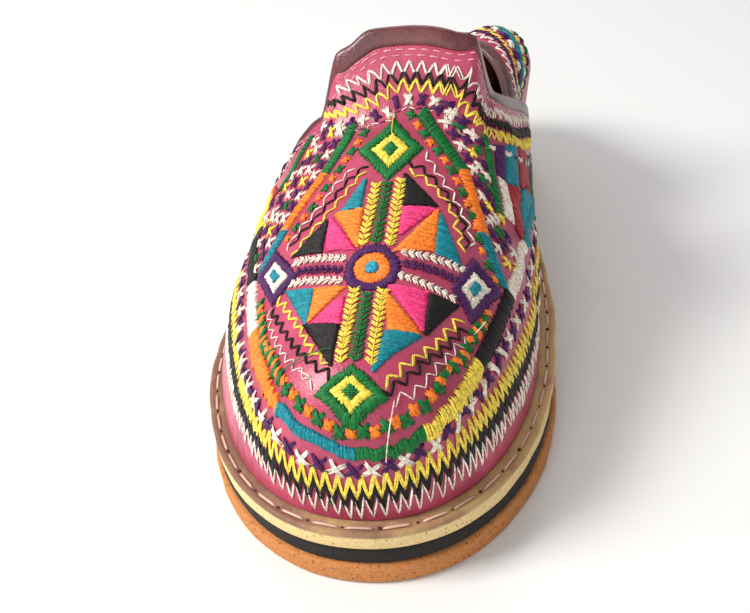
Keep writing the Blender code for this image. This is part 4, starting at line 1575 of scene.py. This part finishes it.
def make_welt_stitches(settings):
    """Saddle stitches along the welt's strip: each a thick thread that sinks at both ends, with a dark
    brown disc between one stitch and the next, painted shade where the needle hole goes in."""
    line, length, at = outline_path(STITCH_INSET, settings.stitch_pitch)
    threads = Threads(1)
    pitch = at[1] - at[0]
    share = np.linspace(0.10, 0.86, 8)
    loose = threads.random.uniform(-0.0005, 0.0005, (len(at), 1))
    spots = at[:, None] + pitch * share[None, :] + loose
    x = np.interp(spots % length[-1], length, line[:, 0])
    y = np.interp(spots % length[-1], length, line[:, 1])
    lift = 0.00035 * np.sin(math.pi * np.linspace(0.0, 1.0, 8)) ** 0.5 - 0.0003
    z = WELT_TOP + toe_lift(y + LENGTH / 2) + lift[None, :]
    points = np.stack((x, y, z), -1)
    up = np.zeros_like(points)
    up[..., 2] = 1.0
    threads.add(points, up, 0.00040, srgb(226, 190, 168), 0.7, 0.18)
    stitches = threads.build("welt_stitches", material("waxed thread"))

    # Needle holes: small dark brown discs on the welt, painted shade in place of each hole's depth
    spots = at + pitch * 0.98
    x = np.interp(spots % length[-1], length, line[:, 0])
    y = np.interp(spots % length[-1], length, line[:, 1])
    turn = 2 * math.pi * np.arange(12) / 12
    size = np.random.default_rng(SEED).uniform(0.00022, 0.00056, (len(spots), 1))
    rings = []
    for share, drop in ((1.0, -0.00010), (0.85, 0.00034), (0.45, 0.00038), (0.02, 0.00038)):
        ring_x = x[:, None] + size * share * np.cos(turn)
        ring_y = y[:, None] + size * share * 0.8 * np.sin(turn)
        level = WELT_TOP + toe_lift(y + LENGTH / 2) - 0.0002 + drop
        ring_z = np.broadcast_to(level[:, None], ring_x.shape)
        rings.append(np.stack((ring_x, ring_y, ring_z), -1))
    points = np.stack(rings, axis=1)
    index = np.arange(points[..., 0].size).reshape(points.shape[:3])
    after = np.roll(index, -1, axis=2)
    quads = np.stack((index[:, :-1], after[:, :-1], after[:, 1:], index[:, 1:]), -1).reshape(-1, 4)
    hole_shade = mesh_piece("needle_hole_shade", points.reshape(-1, 3), quads, [material("needle hole shade")])
    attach(hole_shade, "root")


def vamp_edge_width(across):
    """Width of the vamp's rolled edge: it is turned over less on the tab's lateral side."""
    x = vamp_at(throat_limit(across, 0.0), across)[0][:, 0]
    beside = ease((TAB_MIDDLE - TAB_HALF_WIDTH + 0.003 - x) / 0.006) * (1 - ease((-0.019 - x) / 0.006))
    return BINDING_WIDTH * (1 - 0.5 * beside)


def make_vamp(settings):
    """The vamp's leather: the surface of sections from the toe to under the rolled edge, with its wall."""
    across = np.linspace(-1.0, 1.0, 245)
    way = np.linspace(0.0, 1.0, 175)[:, None] ** 1.7
    last = throat_limit(across, vamp_edge_width(across) - EDGE_OVERLAP)[None, :]
    station = STRIP + way * (last - STRIP)
    points, _ = vamp_at(station, np.broadcast_to(across, station.shape))
    quads = grid_quads(*points.shape[:2])
    finishes = [material("pink leather"), material("lining")]
    piece = mesh_piece("vamp_leather", points.reshape(-1, 3), quads, finishes)
    wall = piece.modifiers.new("wall", "SOLIDIFY")
    wall.thickness = VAMP_WALL
    wall.offset = -1.0
    wall.material_offset = 1
    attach(piece, "root")
    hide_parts("vamp")


def rolled_ring(surface, width, wall, proud):
    """Points of a rolled edge: the leather runs over the outer face, half round the edge and back along the
    inner face. surface gives points and normals of every column at a depth inside the edge."""
    radius = wall / 2 + proud
    rows = []
    outside = (
        (width, -0.3), (width - 0.0003, 0.6), (width - 0.0009, 1.0), (width * 0.6, 1.05), (radius, 1.0),
    )
    for depth, rise in outside:
        here, normal = surface(depth)
        rows.append(here + normal * proud * rise)
    here, normal = surface(radius)
    tangent = np.gradient(here, axis=0)
    tangent /= np.linalg.norm(tangent, axis=1, keepdims=True)
    outward = np.cross(tangent, normal)
    deeper, _ = surface(radius + 0.002)
    outward *= np.sign(((here - deeper) * outward).sum(1, keepdims=True))
    centre = here - normal * (radius - proud)
    for angle in np.radians(np.linspace(70.0, -70.0, 8)):
        rows.append(centre + radius * (normal * math.sin(angle) + outward * math.cos(angle)))
    for depth in (radius, width * 0.6, width - 0.0003):
        here, normal = surface(depth)
        rows.append(here - normal * (wall + proud * 0.9))
    return np.array(rows)


def make_vamp_edge(settings):
    """The burgundy rolled edge along the tab and both wings."""
    across = np.interp(np.linspace(0.0, 1.0, 420), np.linspace(0.0, 1.0, len(ACROSS)), ACROSS)

    def surface(depth):
        return vamp_at(throat_limit(across, depth), across)

    rows = rolled_ring(surface, vamp_edge_width(across), VAMP_WALL, BINDING_PROUD)
    quads = grid_quads(*rows.shape[:2], close_rows=True)
    piece = mesh_piece("vamp_rolled_edge", rows.reshape(-1, 3), quads, [material("burgundy leather")])
    merge_close(piece)
    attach(piece, "root")
    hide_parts("vamp_binding")


def make_quarter(settings):
    """The quarter's leather, folded in at the heel."""
    along = np.linspace(0.0, 1.0, 205)
    length = rib_length(smooth_table(QUARTER_RIBS, RIB_COLUMN_NAMES, "along", along))
    bound = 1 - (BINDING_WIDTH - EDGE_OVERLAP) / length
    share = np.linspace(0.0, 1.0, 95)[:, None] * bound[None, :]
    wide = np.broadcast_to(along, share.shape)
    outer = quarter_surface(wide, share, 0.0)
    inner = quarter_surface(wide, share, QUARTER_WALL)
    piece = shell_piece("quarter_leather", outer, inner, [material("pink leather"), material("lining")])
    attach(piece, "root")
    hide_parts("quarter")


def make_quarter_edge(settings):
    """The brown rolled edge of the quarter."""
    along = np.linspace(0.0, 1.0, 401)

    def surface(depth):
        return quarter_at(along, np.full_like(along, depth))

    rows = rolled_ring(surface, BINDING_WIDTH, QUARTER_WALL, BINDING_PROUD)
    quads = grid_quads(*rows.shape[:2], close_rows=True)
    piece = mesh_piece("quarter_rolled_edge", rows.reshape(-1, 3), quads, [material("brown edge leather")])
    merge_close(piece)
    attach(piece, "root")
    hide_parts("quarter_binding")


def make_hem_rows(settings):
    """Three interlocked zigzag rows along the hem and a row of crosses over them."""
    rows = Threads(2)
    rises = hem_level("tall")
    for name, strands, radius, shift, spread in HEM_ZIGZAGS:
        level = hem_level(name)
        at = even_along(hem_chart, level, HEM_FIRST, HEM_LAST, settings.zigzag_pitch / MM / 2)
        at = at + shift * settings.zigzag_pitch / MM
        low = level(at)
        high = low + rises(at)
        keep = within_throat(at, high) & within_throat(at, low)
        start = np.flatnonzero(keep)[0]
        stop = np.flatnonzero(keep)[-1] + 1
        at, low, high = at[start:stop], low[start:stop], high[start:stop]
        rows.zigzag(hem_chart, at, low, high, THREADS[name], radius, strands, spread=spread)
    piece = rows.build("hem_zigzags", material("thread"))

    crosses = Threads(3)
    level = hem_level("cross")
    at = even_along(hem_chart, level, HEM_FIRST, HEM_LAST, settings.cross_pitch / MM)
    height = level(at) + 0.8
    keep = within_throat(at, height + 2)
    pattern = by_turns(len(at))[keep]
    centres = level_row(at, height)[keep]
    crosses.crosses(hem_chart, centres, settings.cross_size / MM, pattern, 45.0, 0.21, 3, 0.44)
    piece = crosses.build("hem_crosses", material("thread"))


def border_bar(threads, places, half, colour, settings):
    """A satin bar along a line of plan places."""
    spots, aside = even_path(places, settings.satin_pitch / MM)
    start = spots - aside * half
    end = spots + aside * half
    threads.span(plan_chart, start, end, THREADS[colour], 0.24, 0.45, 6, 0.1, 0.12)


def chain_look(spots, size):
    """Sizes and colours of a chain's crosses, green and orange by turns."""
    odd = np.arange(len(spots)) % 2 == 1
    return size * np.where(odd, 0.84, 1.08), by_turns(len(spots), "green", "orange")


def make_borders(settings):
    """The satin border in lengths of one colour each, along the hem rows and up to the tab, a chain of small
    crosses inside it, and the lattices of the upper sides."""
    border = Threads(4)
    level = hem_level("band")
    wide = hem_level("band_width")
    first = HEM_FIRST
    for end, colour in BORDER:
        at = even_along(hem_chart, level, first, end, settings.satin_pitch / MM)
        half = wide(at) / 2
        keep = within_throat(at, level(at) + 3)
        if keep.sum() > 3:
            lower = level_row(at, level(at) - half)[keep]
            upper = level_row(at, level(at) + half)[keep]
            bulge = 0.75 if colour == "yellow" else 0.55
            wobble = 0.3 if colour == "yellow" else 0.14
            border.span(hem_chart, lower, upper, THREADS[colour], 0.24, bulge, 7, 0.1, wobble)
        first = end
    for colour, places in INNER_BORDER:
        border_bar(border, places, INNER_BORDER_HALF, colour, settings)
    piece = border.build("satin_border", material("thread"))

    chain = Threads(5)
    for places in CHAINS:
        spots, aside = even_path(places, CHAIN_PITCH)
        turn = np.degrees(np.arctan2(aside[:, 1], aside[:, 0]))
        chain.crosses(plan_chart, spots, *chain_look(spots, 3.3), turn + 40, 0.21, 3, 0.36)
    height = table_level(HEM_CHAIN, HEM_CHAIN_COLUMNS, "height")
    at = even_along(hem_chart, height, HEM_CHAIN[0][0], HEM_CHAIN[-1][0], CHAIN_PITCH)
    spots = level_row(at, height(at))
    chain.crosses(hem_chart, spots, *chain_look(spots, 3.9), 40.0, 0.21, 4, 0.38)
    piece = chain.build("border_chain", material("thread"))

    lattice = Threads(12)
    for palette, places in LATTICES:
        spots, aside = even_path(places, 3.1)
        tints = np.array([THREADS[palette[k % len(palette)]] for k in range(len(spots))])
        turn = np.degrees(np.arctan2(aside[:, 1], aside[:, 0]))
        lattice.crosses(plan_chart, spots, 4.4, tints, turn + 45, 0.18, 3, 0.38)
    piece = lattice.build("side_lattices", material("thread"))


# How much larger a patch is drawn than its corners, so that neighbours meet
PATCH_GROWTH = 1.05


def make_medallion(settings):
    """The middle of the vamp: a ring, four diamonds, satin patches and ears of wheat."""
    satin = Threads(6)
    for x1, y1, x2, y2, x3, y3, colour, angle in PATCHES:
        corners = np.array(((x1, y1), (x2, y2), (x3, y3)))
        middle = corners.mean(axis=0)
        satin.patch(plan_chart, middle + (corners - middle) * PATCH_GROWTH, THREADS[colour], angle)
    turn = 2 * math.pi * np.arange(32) / 32
    circle = np.stack((np.cos(turn), 1.04 * np.sin(turn)), -1)
    centre = np.array([RING_X, RING_Y])
    for radius, within, colour in RINGS:
        satin.ring(plan_chart, centre + circle * radius, centre + circle * within, THREADS[colour])
    satin.patch(plan_chart, centre + circle[::2] * 1.7, THREADS["sky"], 0, bulge=0.5)
    for row in DIAMONDS:
        corners = np.array(row[:8]).reshape(4, 2)
        middle = corners.mean(axis=0)
        outer, inside, core = (THREADS[name] for name in row[8:])
        nest = middle + (corners - middle) * DIAMOND_MIDDLE
        heart = middle + (corners - middle) * DIAMOND_CORE
        satin.ring(plan_chart, corners, nest, outer, bulge=0.5)
        satin.ring(plan_chart, nest, heart, inside, bulge=0.4)
        satin.patch(plan_chart, heart, core, 0, bulge=0.6)
    piece = satin.build("medallion_satin", material("thread"))

    ears = Threads(7)
    for x, y, to_x, to_y, colour in WHEAT:
        lengthwise = abs(to_y - y) > abs(to_x - x)
        pitch, leaf, radius = EAR_LENGTHWISE if lengthwise else EAR_ACROSS
        ears.wheat(plan_chart, (x, y), (to_x, to_y), THREADS[colour], pitch, leaf, radius)
    piece = ears.build("wheat_ears", material("thread"))


def even_path(places, pitch):
    """Places an even pitch apart along a line of plan places, with the unit direction square to each."""
    places = np.asarray(places, dtype=float)
    length = run_length(places)
    count = max(int(round(length[-1] / pitch)), 2)
    at = np.linspace(0.0, length[-1], count + 1)
    spots = np.stack([np.interp(at, length, places[:, k]) for k in (0, 1)], -1)
    way = np.gradient(spots, axis=0)
    way /= np.linalg.norm(way, axis=1, keepdims=True)
    return spots, np.stack((-way[:, 1], way[:, 0]), -1)


def make_zigzag_lines(settings):
    """Yellow, black and white zigzag lines round the middle, and loose thread tails."""
    lines = Threads(8)
    for colour, swing_by, radius, places in ZIGZAGS:
        spots, aside = even_path(places, 2.1)
        spots += aside * swing_by * np.where(np.arange(len(spots)) % 2 == 0, 1, -1)[:, None]
        spots += lines.random.uniform(-0.22, 0.22, spots.shape)
        lines.span(plan_chart, spots[:-1], spots[1:], THREADS[colour], radius, 0.10, 5, 0.16)
        if colour != "white":
            beside = spots + 0.22
            lines.span(plan_chart, beside[:-1], beside[1:], THREADS[colour], radius * 0.8, 0.05, 5, 0.12)
    for x, y, to_x, to_y, colour in TAILS:
        lines.span(plan_chart, [(x, y)], [(to_x, to_y)], THREADS[colour], 0.15, 0.8, 12, 0.2)
    piece = lines.build("zigzag_lines", material("thread"))


def row_nearest(at):
    """How near the throat's edge a row may come: nearer on the tab's lateral side, where the edge is
    narrow."""
    return np.where((at > -42.0) & (at < -27.0), ROW_NEAREST - 2.6, ROW_NEAREST)


def even_row(name, last, pitch):
    """Lengths a pitch apart along a row of the throat, and the depth of its far edge at each."""
    depth = table_level(ROW_DEPTHS, ROW_COLUMNS, name)

    def inside(length):
        return np.maximum(depth(length), 1.0)

    at = even_along(throat_chart, inside, -ROW_REACH, last, pitch)
    return at, depth(at)


def make_throat_rows(settings):
    """Rows along the tab and the wings: two lines of dashes, three zigzags, a row of crosses and a fine
    line."""
    rows = Threads(9)
    for depth in DASH_DEPTHS:
        at = even_along(throat_chart, depth, -100.0, 100.0, 3.4)
        start = level_row(at[:-1], depth)
        end = level_row(at[:-1] + np.diff(at) * 0.72, depth)
        rows.span(throat_chart, start, end, srgb(238, 170, 176), 0.17, 0.10, 5, 0.03)
    for name, radius in (("white", 0.20), ("black", 0.27), ("yellow", 0.25)):
        at, edge = even_row(name, ROW_REACH, 1.6)
        edge = edge - np.where(np.arange(len(at)) % 2 == 0, 0.0, ROW_TALL)
        spots = level_row(at, edge) + rows.random.uniform(-0.12, 0.12, (len(at), 2))
        nearest = row_nearest(at)
        good = (edge[:-1] > nearest[:-1]) & (edge[1:] > nearest[1:])
        for strand in (-0.18, 0.18):
            aside = np.array([strand, 0.0])
            start = (spots[:-1] + aside)[good]
            end = (spots[1:] + aside)[good]
            rows.span(throat_chart, start, end, THREADS[name], radius, 0.1, 5, 0.16)
    at, edge = even_row("cross", ROW_REACH, 3.6)
    spots = level_row(at, edge)[edge > row_nearest(at) + 1.5]
    rows.crosses(throat_chart, spots, 4.0, by_turns(len(spots)), 45.0, 0.21, 3, 0.40)
    at, edge = even_row("line", 34.0, 2.0)
    line = level_row(at, edge + 0.35 * (-1.0) ** np.arange(len(at)))
    nearest = row_nearest(at)
    good = (line[:-1, 1] > nearest[:-1]) & (line[1:, 1] > nearest[1:])
    tints = np.where((np.arange(len(at) - 1) % 3 == 0)[:, None], THREADS["purple"], THREADS["white"])
    rows.span(throat_chart, line[:-1][good], line[1:][good], tints[good], 0.17, 0.1, 4, 0.12)
    piece = rows.build("throat_rows", material("thread"))


# The quarter's rows, in millimetres. Zigzags below its bound edge: low, high, colour. Crosses below it:
# depth and two colours. Zigzags above the sole: low edge, colour
QUARTER_ZIGZAGS = (
    (7.0, 10.6, "white"),
    (9.8, 13.4, "purple"),
    (12.2, 15.4, "yellow"),
)
QUARTER_CROSSES = (
    (17.8, "white", "purple"),
    (24.4, "yellow", "white"),
    (28.6, "green", "purple"),
)
QUARTER_HEM_ROWS = (
    (6.0, "white"),
    (9.4, "black"),
    (12.6, "yellow"),
)
QUARTER_HEM_TALL = 5.6
QUARTER_HEM_CROSS = 21.6


def make_quarter_rows(settings):
    """The quarter's rows: zigzags, a satin stripe and rows of crosses along its bound edge, and the hem's
    rows carried on along its foot."""
    rows = Threads(10)

    def even(chart, level, pitch):
        return even_along(chart, level, 2.0, HEEL_LENGTH / MM - 2.0, pitch)

    for low, high, colour in QUARTER_ZIGZAGS:
        at = even(quarter_chart, low, 1.7)
        rows.zigzag(quarter_chart, at, np.full_like(at, low), np.full_like(at, high), THREADS[colour], 0.33)
    for depth, first, second in QUARTER_CROSSES:
        at = even(quarter_chart, depth, 3.9)
        rows.crosses(quarter_chart, level_row(at, depth), 3.2, by_turns(len(at), first, second))
    at = even(quarter_chart, 21.2, settings.satin_pitch / MM)
    lengths = (at // 19).astype(int) % 4
    palette = np.array([THREADS[name] for name in ("orange", "teal", "green", "red")])
    low, high = level_row(at, 19.9), level_row(at, 22.7)
    rows.span(quarter_chart, low, high, palette[lengths], 0.28, 0.4, 5, 0.1, 0.15)
    for level, colour in QUARTER_HEM_ROWS:
        at = even(quarter_hem_chart, level, settings.zigzag_pitch / MM / 2)
        low = np.full_like(at, level)
        rows.zigzag(quarter_hem_chart, at, low, low + QUARTER_HEM_TALL, THREADS[colour], 0.32)
    at = even(quarter_hem_chart, QUARTER_HEM_CROSS, 4.4)
    spots = level_row(at, QUARTER_HEM_CROSS)
    size = settings.cross_size / MM
    rows.crosses(quarter_hem_chart, spots, size, by_turns(len(at)), 45.0, 0.21, 3, 0.44)
    piece = rows.build("quarter_rows", material("thread"))


# Bars of the sides: half width, colour, and the places they run through in plan millimetres
BARS = (
    (1.3, "green", ((-19.8, -24.4), (-24.3, -28.8), (-28.4, -35.2))),
    (1.1, "green", ((29.6, -30.4), (31.4, -35.0), (32.6, -40.0), (34.4, -46.8))),
)

# Satin blocks of the medial side, in plan millimetres. Columns: x1, y1, x2, y2, x3, y3, x4, y4, colour
BLOCKS = (
    (31.8, -30.6, 34.4, -27.6, 35.3, -36.2, 33.6, -36.9, "purple"),
    (34.7, -27.2, 37.4, -21.6, 38.5, -32.2, 35.8, -36.0, "teal"),
    (37.7, -21.0, 39.6, -9.0, 41.2, -22.5, 38.8, -31.8, "red"),
    (33.8, -37.2, 36.0, -36.4, 38.1, -44.6, 35.8, -45.8, "white"),
    (36.2, -36.4, 39.0, -32.4, 40.6, -44.8, 38.3, -44.8, "red"),
    (39.2, -31.8, 41.4, -22.6, 42.2, -38.0, 40.9, -45.2, "teal"),
)

# Satin blocks further round both sides, in hem millimetres. Columns: first, last, low, high, colour
HEM_BLOCKS = (
    (121.0, 131.0, 26.4, 31.8, "yellow"),
    (131.4, 141.4, 26.4, 31.8, "pink"),
    (141.8, 152.0, 26.4, 31.8, "orange"),
    (126.0, 136.0, 32.2, 37.6, "purple"),
    (136.4, 146.4, 32.2, 37.6, "green"),
    (-122.0, -112.0, 37.0, 42.0, "red"),
    (-132.4, -122.4, 37.0, 42.0, "teal"),
    (-142.8, -132.8, 37.0, 42.0, "yellow"),
)


def make_side_panels(settings):
    """Bars and satin blocks between the throat rows and the satin border, on both sides."""
    bars = Threads(11)
    for half, colour, places in BARS:
        border_bar(bars, places, half, colour, settings)
    for row in BLOCKS:
        corners = np.array(row[:8]).reshape(4, 2)
        bars.patch(plan_chart, corners, THREADS[row[8]], 4)
    for first, last, low, high, colour in HEM_BLOCKS:
        at = np.arange(first, last, settings.satin_pitch / MM)
        keep = within_throat(at, np.full_like(at, high), 19.0)
        if keep.any():
            lower = level_row(at, low)[keep]
            upper = level_row(at, high)[keep]
            bars.span(hem_chart, lower, upper, THREADS[colour], 0.24, 0.35, 7, 0.1, 0.12)
    piece = bars.build("side_panels", material("thread"))


def add_light(name, place, target, size, power, colour):
    """A square area light that faces a target."""
    data = bpy.data.lights.new(name, "AREA")
    data.size = size
    data.energy = power
    data.color = colour
    lamp = bpy.data.objects.new(name, data)
    lamp.location = place
    lamp.rotation_euler = (Vector(target) - Vector(place)).to_track_quat("-Z", "Y").to_euler()
    bpy.context.scene.collection.objects.link(lamp)


def make_stage(settings):
    """The pale floor, soft light from above and in front, and the camera at the photograph's angle."""
    quads = np.array([[0, 1, 2, 3]])
    corners = np.array([[-3, -3, 0], [3, -3, 0], [3, 3, 0], [-3, 3, 0]]) * 1.0
    floor_finish = bpy.data.materials.new("pale floor")
    floor_finish.use_nodes = True
    shader = floor_finish.node_tree.nodes["Principled BSDF"]
    shader.inputs["Base Color"].default_value = (0.90, 0.90, 0.90, 1.0)
    shader.inputs["Roughness"].default_value = 0.8
    shader.inputs["Specular IOR Level"].default_value = 0.1
    floor = mesh_piece("floor", corners, quads, [floor_finish], False)
    floor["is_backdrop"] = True

    middle = (0.0, -0.03, 0.03)
    add_light("key", (-0.62, -0.30, 0.66), middle, 0.34, settings.key_power, (1.0, 0.975, 0.94))
    add_light("front", (-0.15, -0.95, 0.50), middle, 0.5, settings.key_power * 0.20, (1.0, 1.0, 1.0))
    add_light("back", (-0.10, 0.75, 0.80), middle, 0.6, settings.key_power * 0.30, (1.0, 0.99, 0.97))
    world = bpy.data.worlds.new("studio")
    bpy.context.scene.world = world
    world.use_nodes = True
    background = world.node_tree.nodes["Background"]
    background.inputs["Color"].default_value = (1.0, 1.0, 1.0, 1.0)
    background.inputs["Strength"].default_value = 0.40

    data = bpy.data.cameras.new("camera")
    data.lens = settings.lens
    data.sensor_width = 36.0
    data.clip_start = 0.01
    data.dof.use_dof = False
    camera = bpy.data.objects.new("camera", data)
    camera.location = CAMERA_PLACE
    aim = (Vector(CAMERA_TARGET) - Vector(CAMERA_PLACE)).to_track_quat("-Z", "Y")
    camera.rotation_euler = (aim @ Quaternion((0.0, 0.0, 1.0), math.radians(CAMERA_ROLL))).to_euler()
    bpy.context.scene.collection.objects.link(camera)
    bpy.context.scene.camera = camera
    bpy.context.scene.view_settings.view_transform = "Standard"
    bpy.context.scene.view_settings.look = "None"


class SlipperSettings(PropertyGroup):
    """Sizes and light that a user would change."""

    sole_wander: FloatProperty(
        name="Sole edge wander", description="How far the hand-cut edges of the sole layers wander",
        default=0.00022, min=0.0, max=0.002, unit="LENGTH", precision=5,
    )
    stitch_pitch: FloatProperty(
        name="Welt stitch pitch", description="Distance from one saddle stitch to the next",
        default=0.0088, min=0.003, max=0.02, unit="LENGTH", precision=4,
    )
    zigzag_pitch: FloatProperty(
        name="Hem zigzag pitch", description="Distance between two points of the hem's zigzag rows",
        default=0.0031, min=0.001, max=0.01, unit="LENGTH", precision=4,
    )
    cross_pitch: FloatProperty(
        name="Cross pitch", description="Distance between two crosses of the hem's row",
        default=0.0044, min=0.002, max=0.02, unit="LENGTH", precision=4,
    )
    cross_size: FloatProperty(
        name="Cross size", description="Length of a cross's strokes",
        default=0.0052, min=0.001, max=0.02, unit="LENGTH", precision=4,
    )
    satin_pitch: FloatProperty(
        name="Satin pitch", description="Distance between two threads of the satin borders and bars",
        default=0.00036, min=0.0002, max=0.002, unit="LENGTH", precision=5,
    )
    key_power: FloatProperty(
        name="Key light", description="Power of the key light",
        default=8.5, min=0.0, max=200.0, unit="POWER",
    )
    lens: FloatProperty(
        name="Lens", description="Focal length of the camera",
        default=48.0, min=10.0, max=200.0, unit="CAMERA",
    )


class SLIPPER_OT_sole(Operator):
    """Make the three sole layers and the footbed"""

    bl_idname = "slipper.sole"
    bl_label = "Sole layers"
    bl_options = {"REGISTER", "UNDO"}

    def execute(self, context):
        make_sole_layers(context.scene.slipper)
        return {"FINISHED"}


class SLIPPER_OT_welt_stitches(Operator):
    """Make the saddle stitches along the welt and the painted shade of its needle holes"""

    bl_idname = "slipper.welt_stitches"
    bl_label = "Welt stitches"
    bl_options = {"REGISTER", "UNDO"}

    def execute(self, context):
        make_welt_stitches(context.scene.slipper)
        return {"FINISHED"}


class SLIPPER_OT_vamp(Operator):
    """Make the vamp's leather"""

    bl_idname = "slipper.vamp"
    bl_label = "Vamp"
    bl_options = {"REGISTER", "UNDO"}

    def execute(self, context):
        make_vamp(context.scene.slipper)
        return {"FINISHED"}


class SLIPPER_OT_vamp_edge(Operator):
    """Make the rolled edge of the tab and wings"""

    bl_idname = "slipper.vamp_edge"
    bl_label = "Vamp edge"
    bl_options = {"REGISTER", "UNDO"}

    def execute(self, context):
        make_vamp_edge(context.scene.slipper)
        return {"FINISHED"}


class SLIPPER_OT_quarter(Operator):
    """Make the quarter's leather"""

    bl_idname = "slipper.quarter"
    bl_label = "Quarter"
    bl_options = {"REGISTER", "UNDO"}

    def execute(self, context):
        make_quarter(context.scene.slipper)
        return {"FINISHED"}


class SLIPPER_OT_quarter_edge(Operator):
    """Make the rolled edge of the quarter"""

    bl_idname = "slipper.quarter_edge"
    bl_label = "Quarter edge"
    bl_options = {"REGISTER", "UNDO"}

    def execute(self, context):
        make_quarter_edge(context.scene.slipper)
        return {"FINISHED"}


class SLIPPER_OT_hem_rows(Operator):
    """Embroider the zigzags and crosses along the hem"""

    bl_idname = "slipper.hem_rows"
    bl_label = "Hem rows"
    bl_options = {"REGISTER", "UNDO"}

    def execute(self, context):
        make_hem_rows(context.scene.slipper)
        return {"FINISHED"}


class SLIPPER_OT_borders(Operator):
    """Embroider the satin borders, their chain and the lattices"""

    bl_idname = "slipper.borders"
    bl_label = "Satin borders"
    bl_options = {"REGISTER", "UNDO"}

    def execute(self, context):
        make_borders(context.scene.slipper)
        return {"FINISHED"}


class SLIPPER_OT_medallion(Operator):
    """Embroider the ring, diamonds, satin patches and ears"""

    bl_idname = "slipper.medallion"
    bl_label = "Medallion"
    bl_options = {"REGISTER", "UNDO"}

    def execute(self, context):
        make_medallion(context.scene.slipper)
        return {"FINISHED"}


class SLIPPER_OT_zigzag_lines(Operator):
    """Embroider the zigzag lines round the middle"""

    bl_idname = "slipper.zigzag_lines"
    bl_label = "Zigzag lines"
    bl_options = {"REGISTER", "UNDO"}

    def execute(self, context):
        make_zigzag_lines(context.scene.slipper)
        return {"FINISHED"}


class SLIPPER_OT_throat_rows(Operator):
    """Embroider the rows along the tab and wings"""

    bl_idname = "slipper.throat_rows"
    bl_label = "Throat rows"
    bl_options = {"REGISTER", "UNDO"}

    def execute(self, context):
        make_throat_rows(context.scene.slipper)
        return {"FINISHED"}


class SLIPPER_OT_side_panels(Operator):
    """Embroider the bars and satin blocks of the sides"""

    bl_idname = "slipper.side_panels"
    bl_label = "Side panels"
    bl_options = {"REGISTER", "UNDO"}

    def execute(self, context):
        make_side_panels(context.scene.slipper)
        return {"FINISHED"}


class SLIPPER_OT_quarter_rows(Operator):
    """Embroider the quarter's rows"""

    bl_idname = "slipper.quarter_rows"
    bl_label = "Quarter rows"
    bl_options = {"REGISTER", "UNDO"}

    def execute(self, context):
        make_quarter_rows(context.scene.slipper)
        return {"FINISHED"}


class SLIPPER_OT_stage(Operator):
    """Make the floor, the light and the camera"""

    bl_idname = "slipper.stage"
    bl_label = "Stage"
    bl_options = {"REGISTER", "UNDO"}

    def execute(self, context):
        make_stage(context.scene.slipper)
        return {"FINISHED"}


OPERATORS = (
    SLIPPER_OT_sole,
    SLIPPER_OT_welt_stitches,
    SLIPPER_OT_vamp,
    SLIPPER_OT_vamp_edge,
    SLIPPER_OT_quarter,
    SLIPPER_OT_quarter_edge,
    SLIPPER_OT_hem_rows,
    SLIPPER_OT_borders,
    SLIPPER_OT_medallion,
    SLIPPER_OT_zigzag_lines,
    SLIPPER_OT_throat_rows,
    SLIPPER_OT_side_panels,
    SLIPPER_OT_quarter_rows,
    SLIPPER_OT_stage,
)


class SLIPPER_PT_panel(Panel):
    """The slipper's sizes and the buttons that make its pieces"""

    bl_idname = "SLIPPER_PT_panel"
    bl_label = "Embroidered slipper"
    bl_space_type = "VIEW_3D"
    bl_region_type = "UI"
    bl_category = "Slipper"

    def draw(self, context):
        layout = self.layout
        settings = context.scene.slipper
        for name in SlipperSettings.__annotations__:
            layout.prop(settings, name)
        for kind in OPERATORS:
            layout.operator(kind.bl_idname)


CLASSES = (SlipperSettings, *OPERATORS, SLIPPER_PT_panel)


def register():
    """Add the slipper's settings, operators and panel to Blender."""
    for kind in CLASSES:
        bpy.utils.register_class(kind)
    bpy.types.Scene.slipper = PointerProperty(type=SlipperSettings)


def unregister():
    """Take them out again."""
    del bpy.types.Scene.slipper
    for kind in reversed(CLASSES):
        bpy.utils.unregister_class(kind)


def main():
    """Make every piece in order."""
    register()
    bpy.ops.slipper.sole()
    bpy.ops.slipper.welt_stitches()
    bpy.ops.slipper.vamp()
    bpy.ops.slipper.vamp_edge()
    bpy.ops.slipper.quarter()
    bpy.ops.slipper.quarter_edge()
    bpy.ops.slipper.hem_rows()
    bpy.ops.slipper.borders()
    bpy.ops.slipper.medallion()
    bpy.ops.slipper.zigzag_lines()
    bpy.ops.slipper.throat_rows()
    bpy.ops.slipper.side_panels()
    bpy.ops.slipper.quarter_rows()
    bpy.ops.slipper.stage()
    {"start": START_BOUNDS, "end": plain_lists(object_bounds())}


if __name__ == "__main__":
    main()
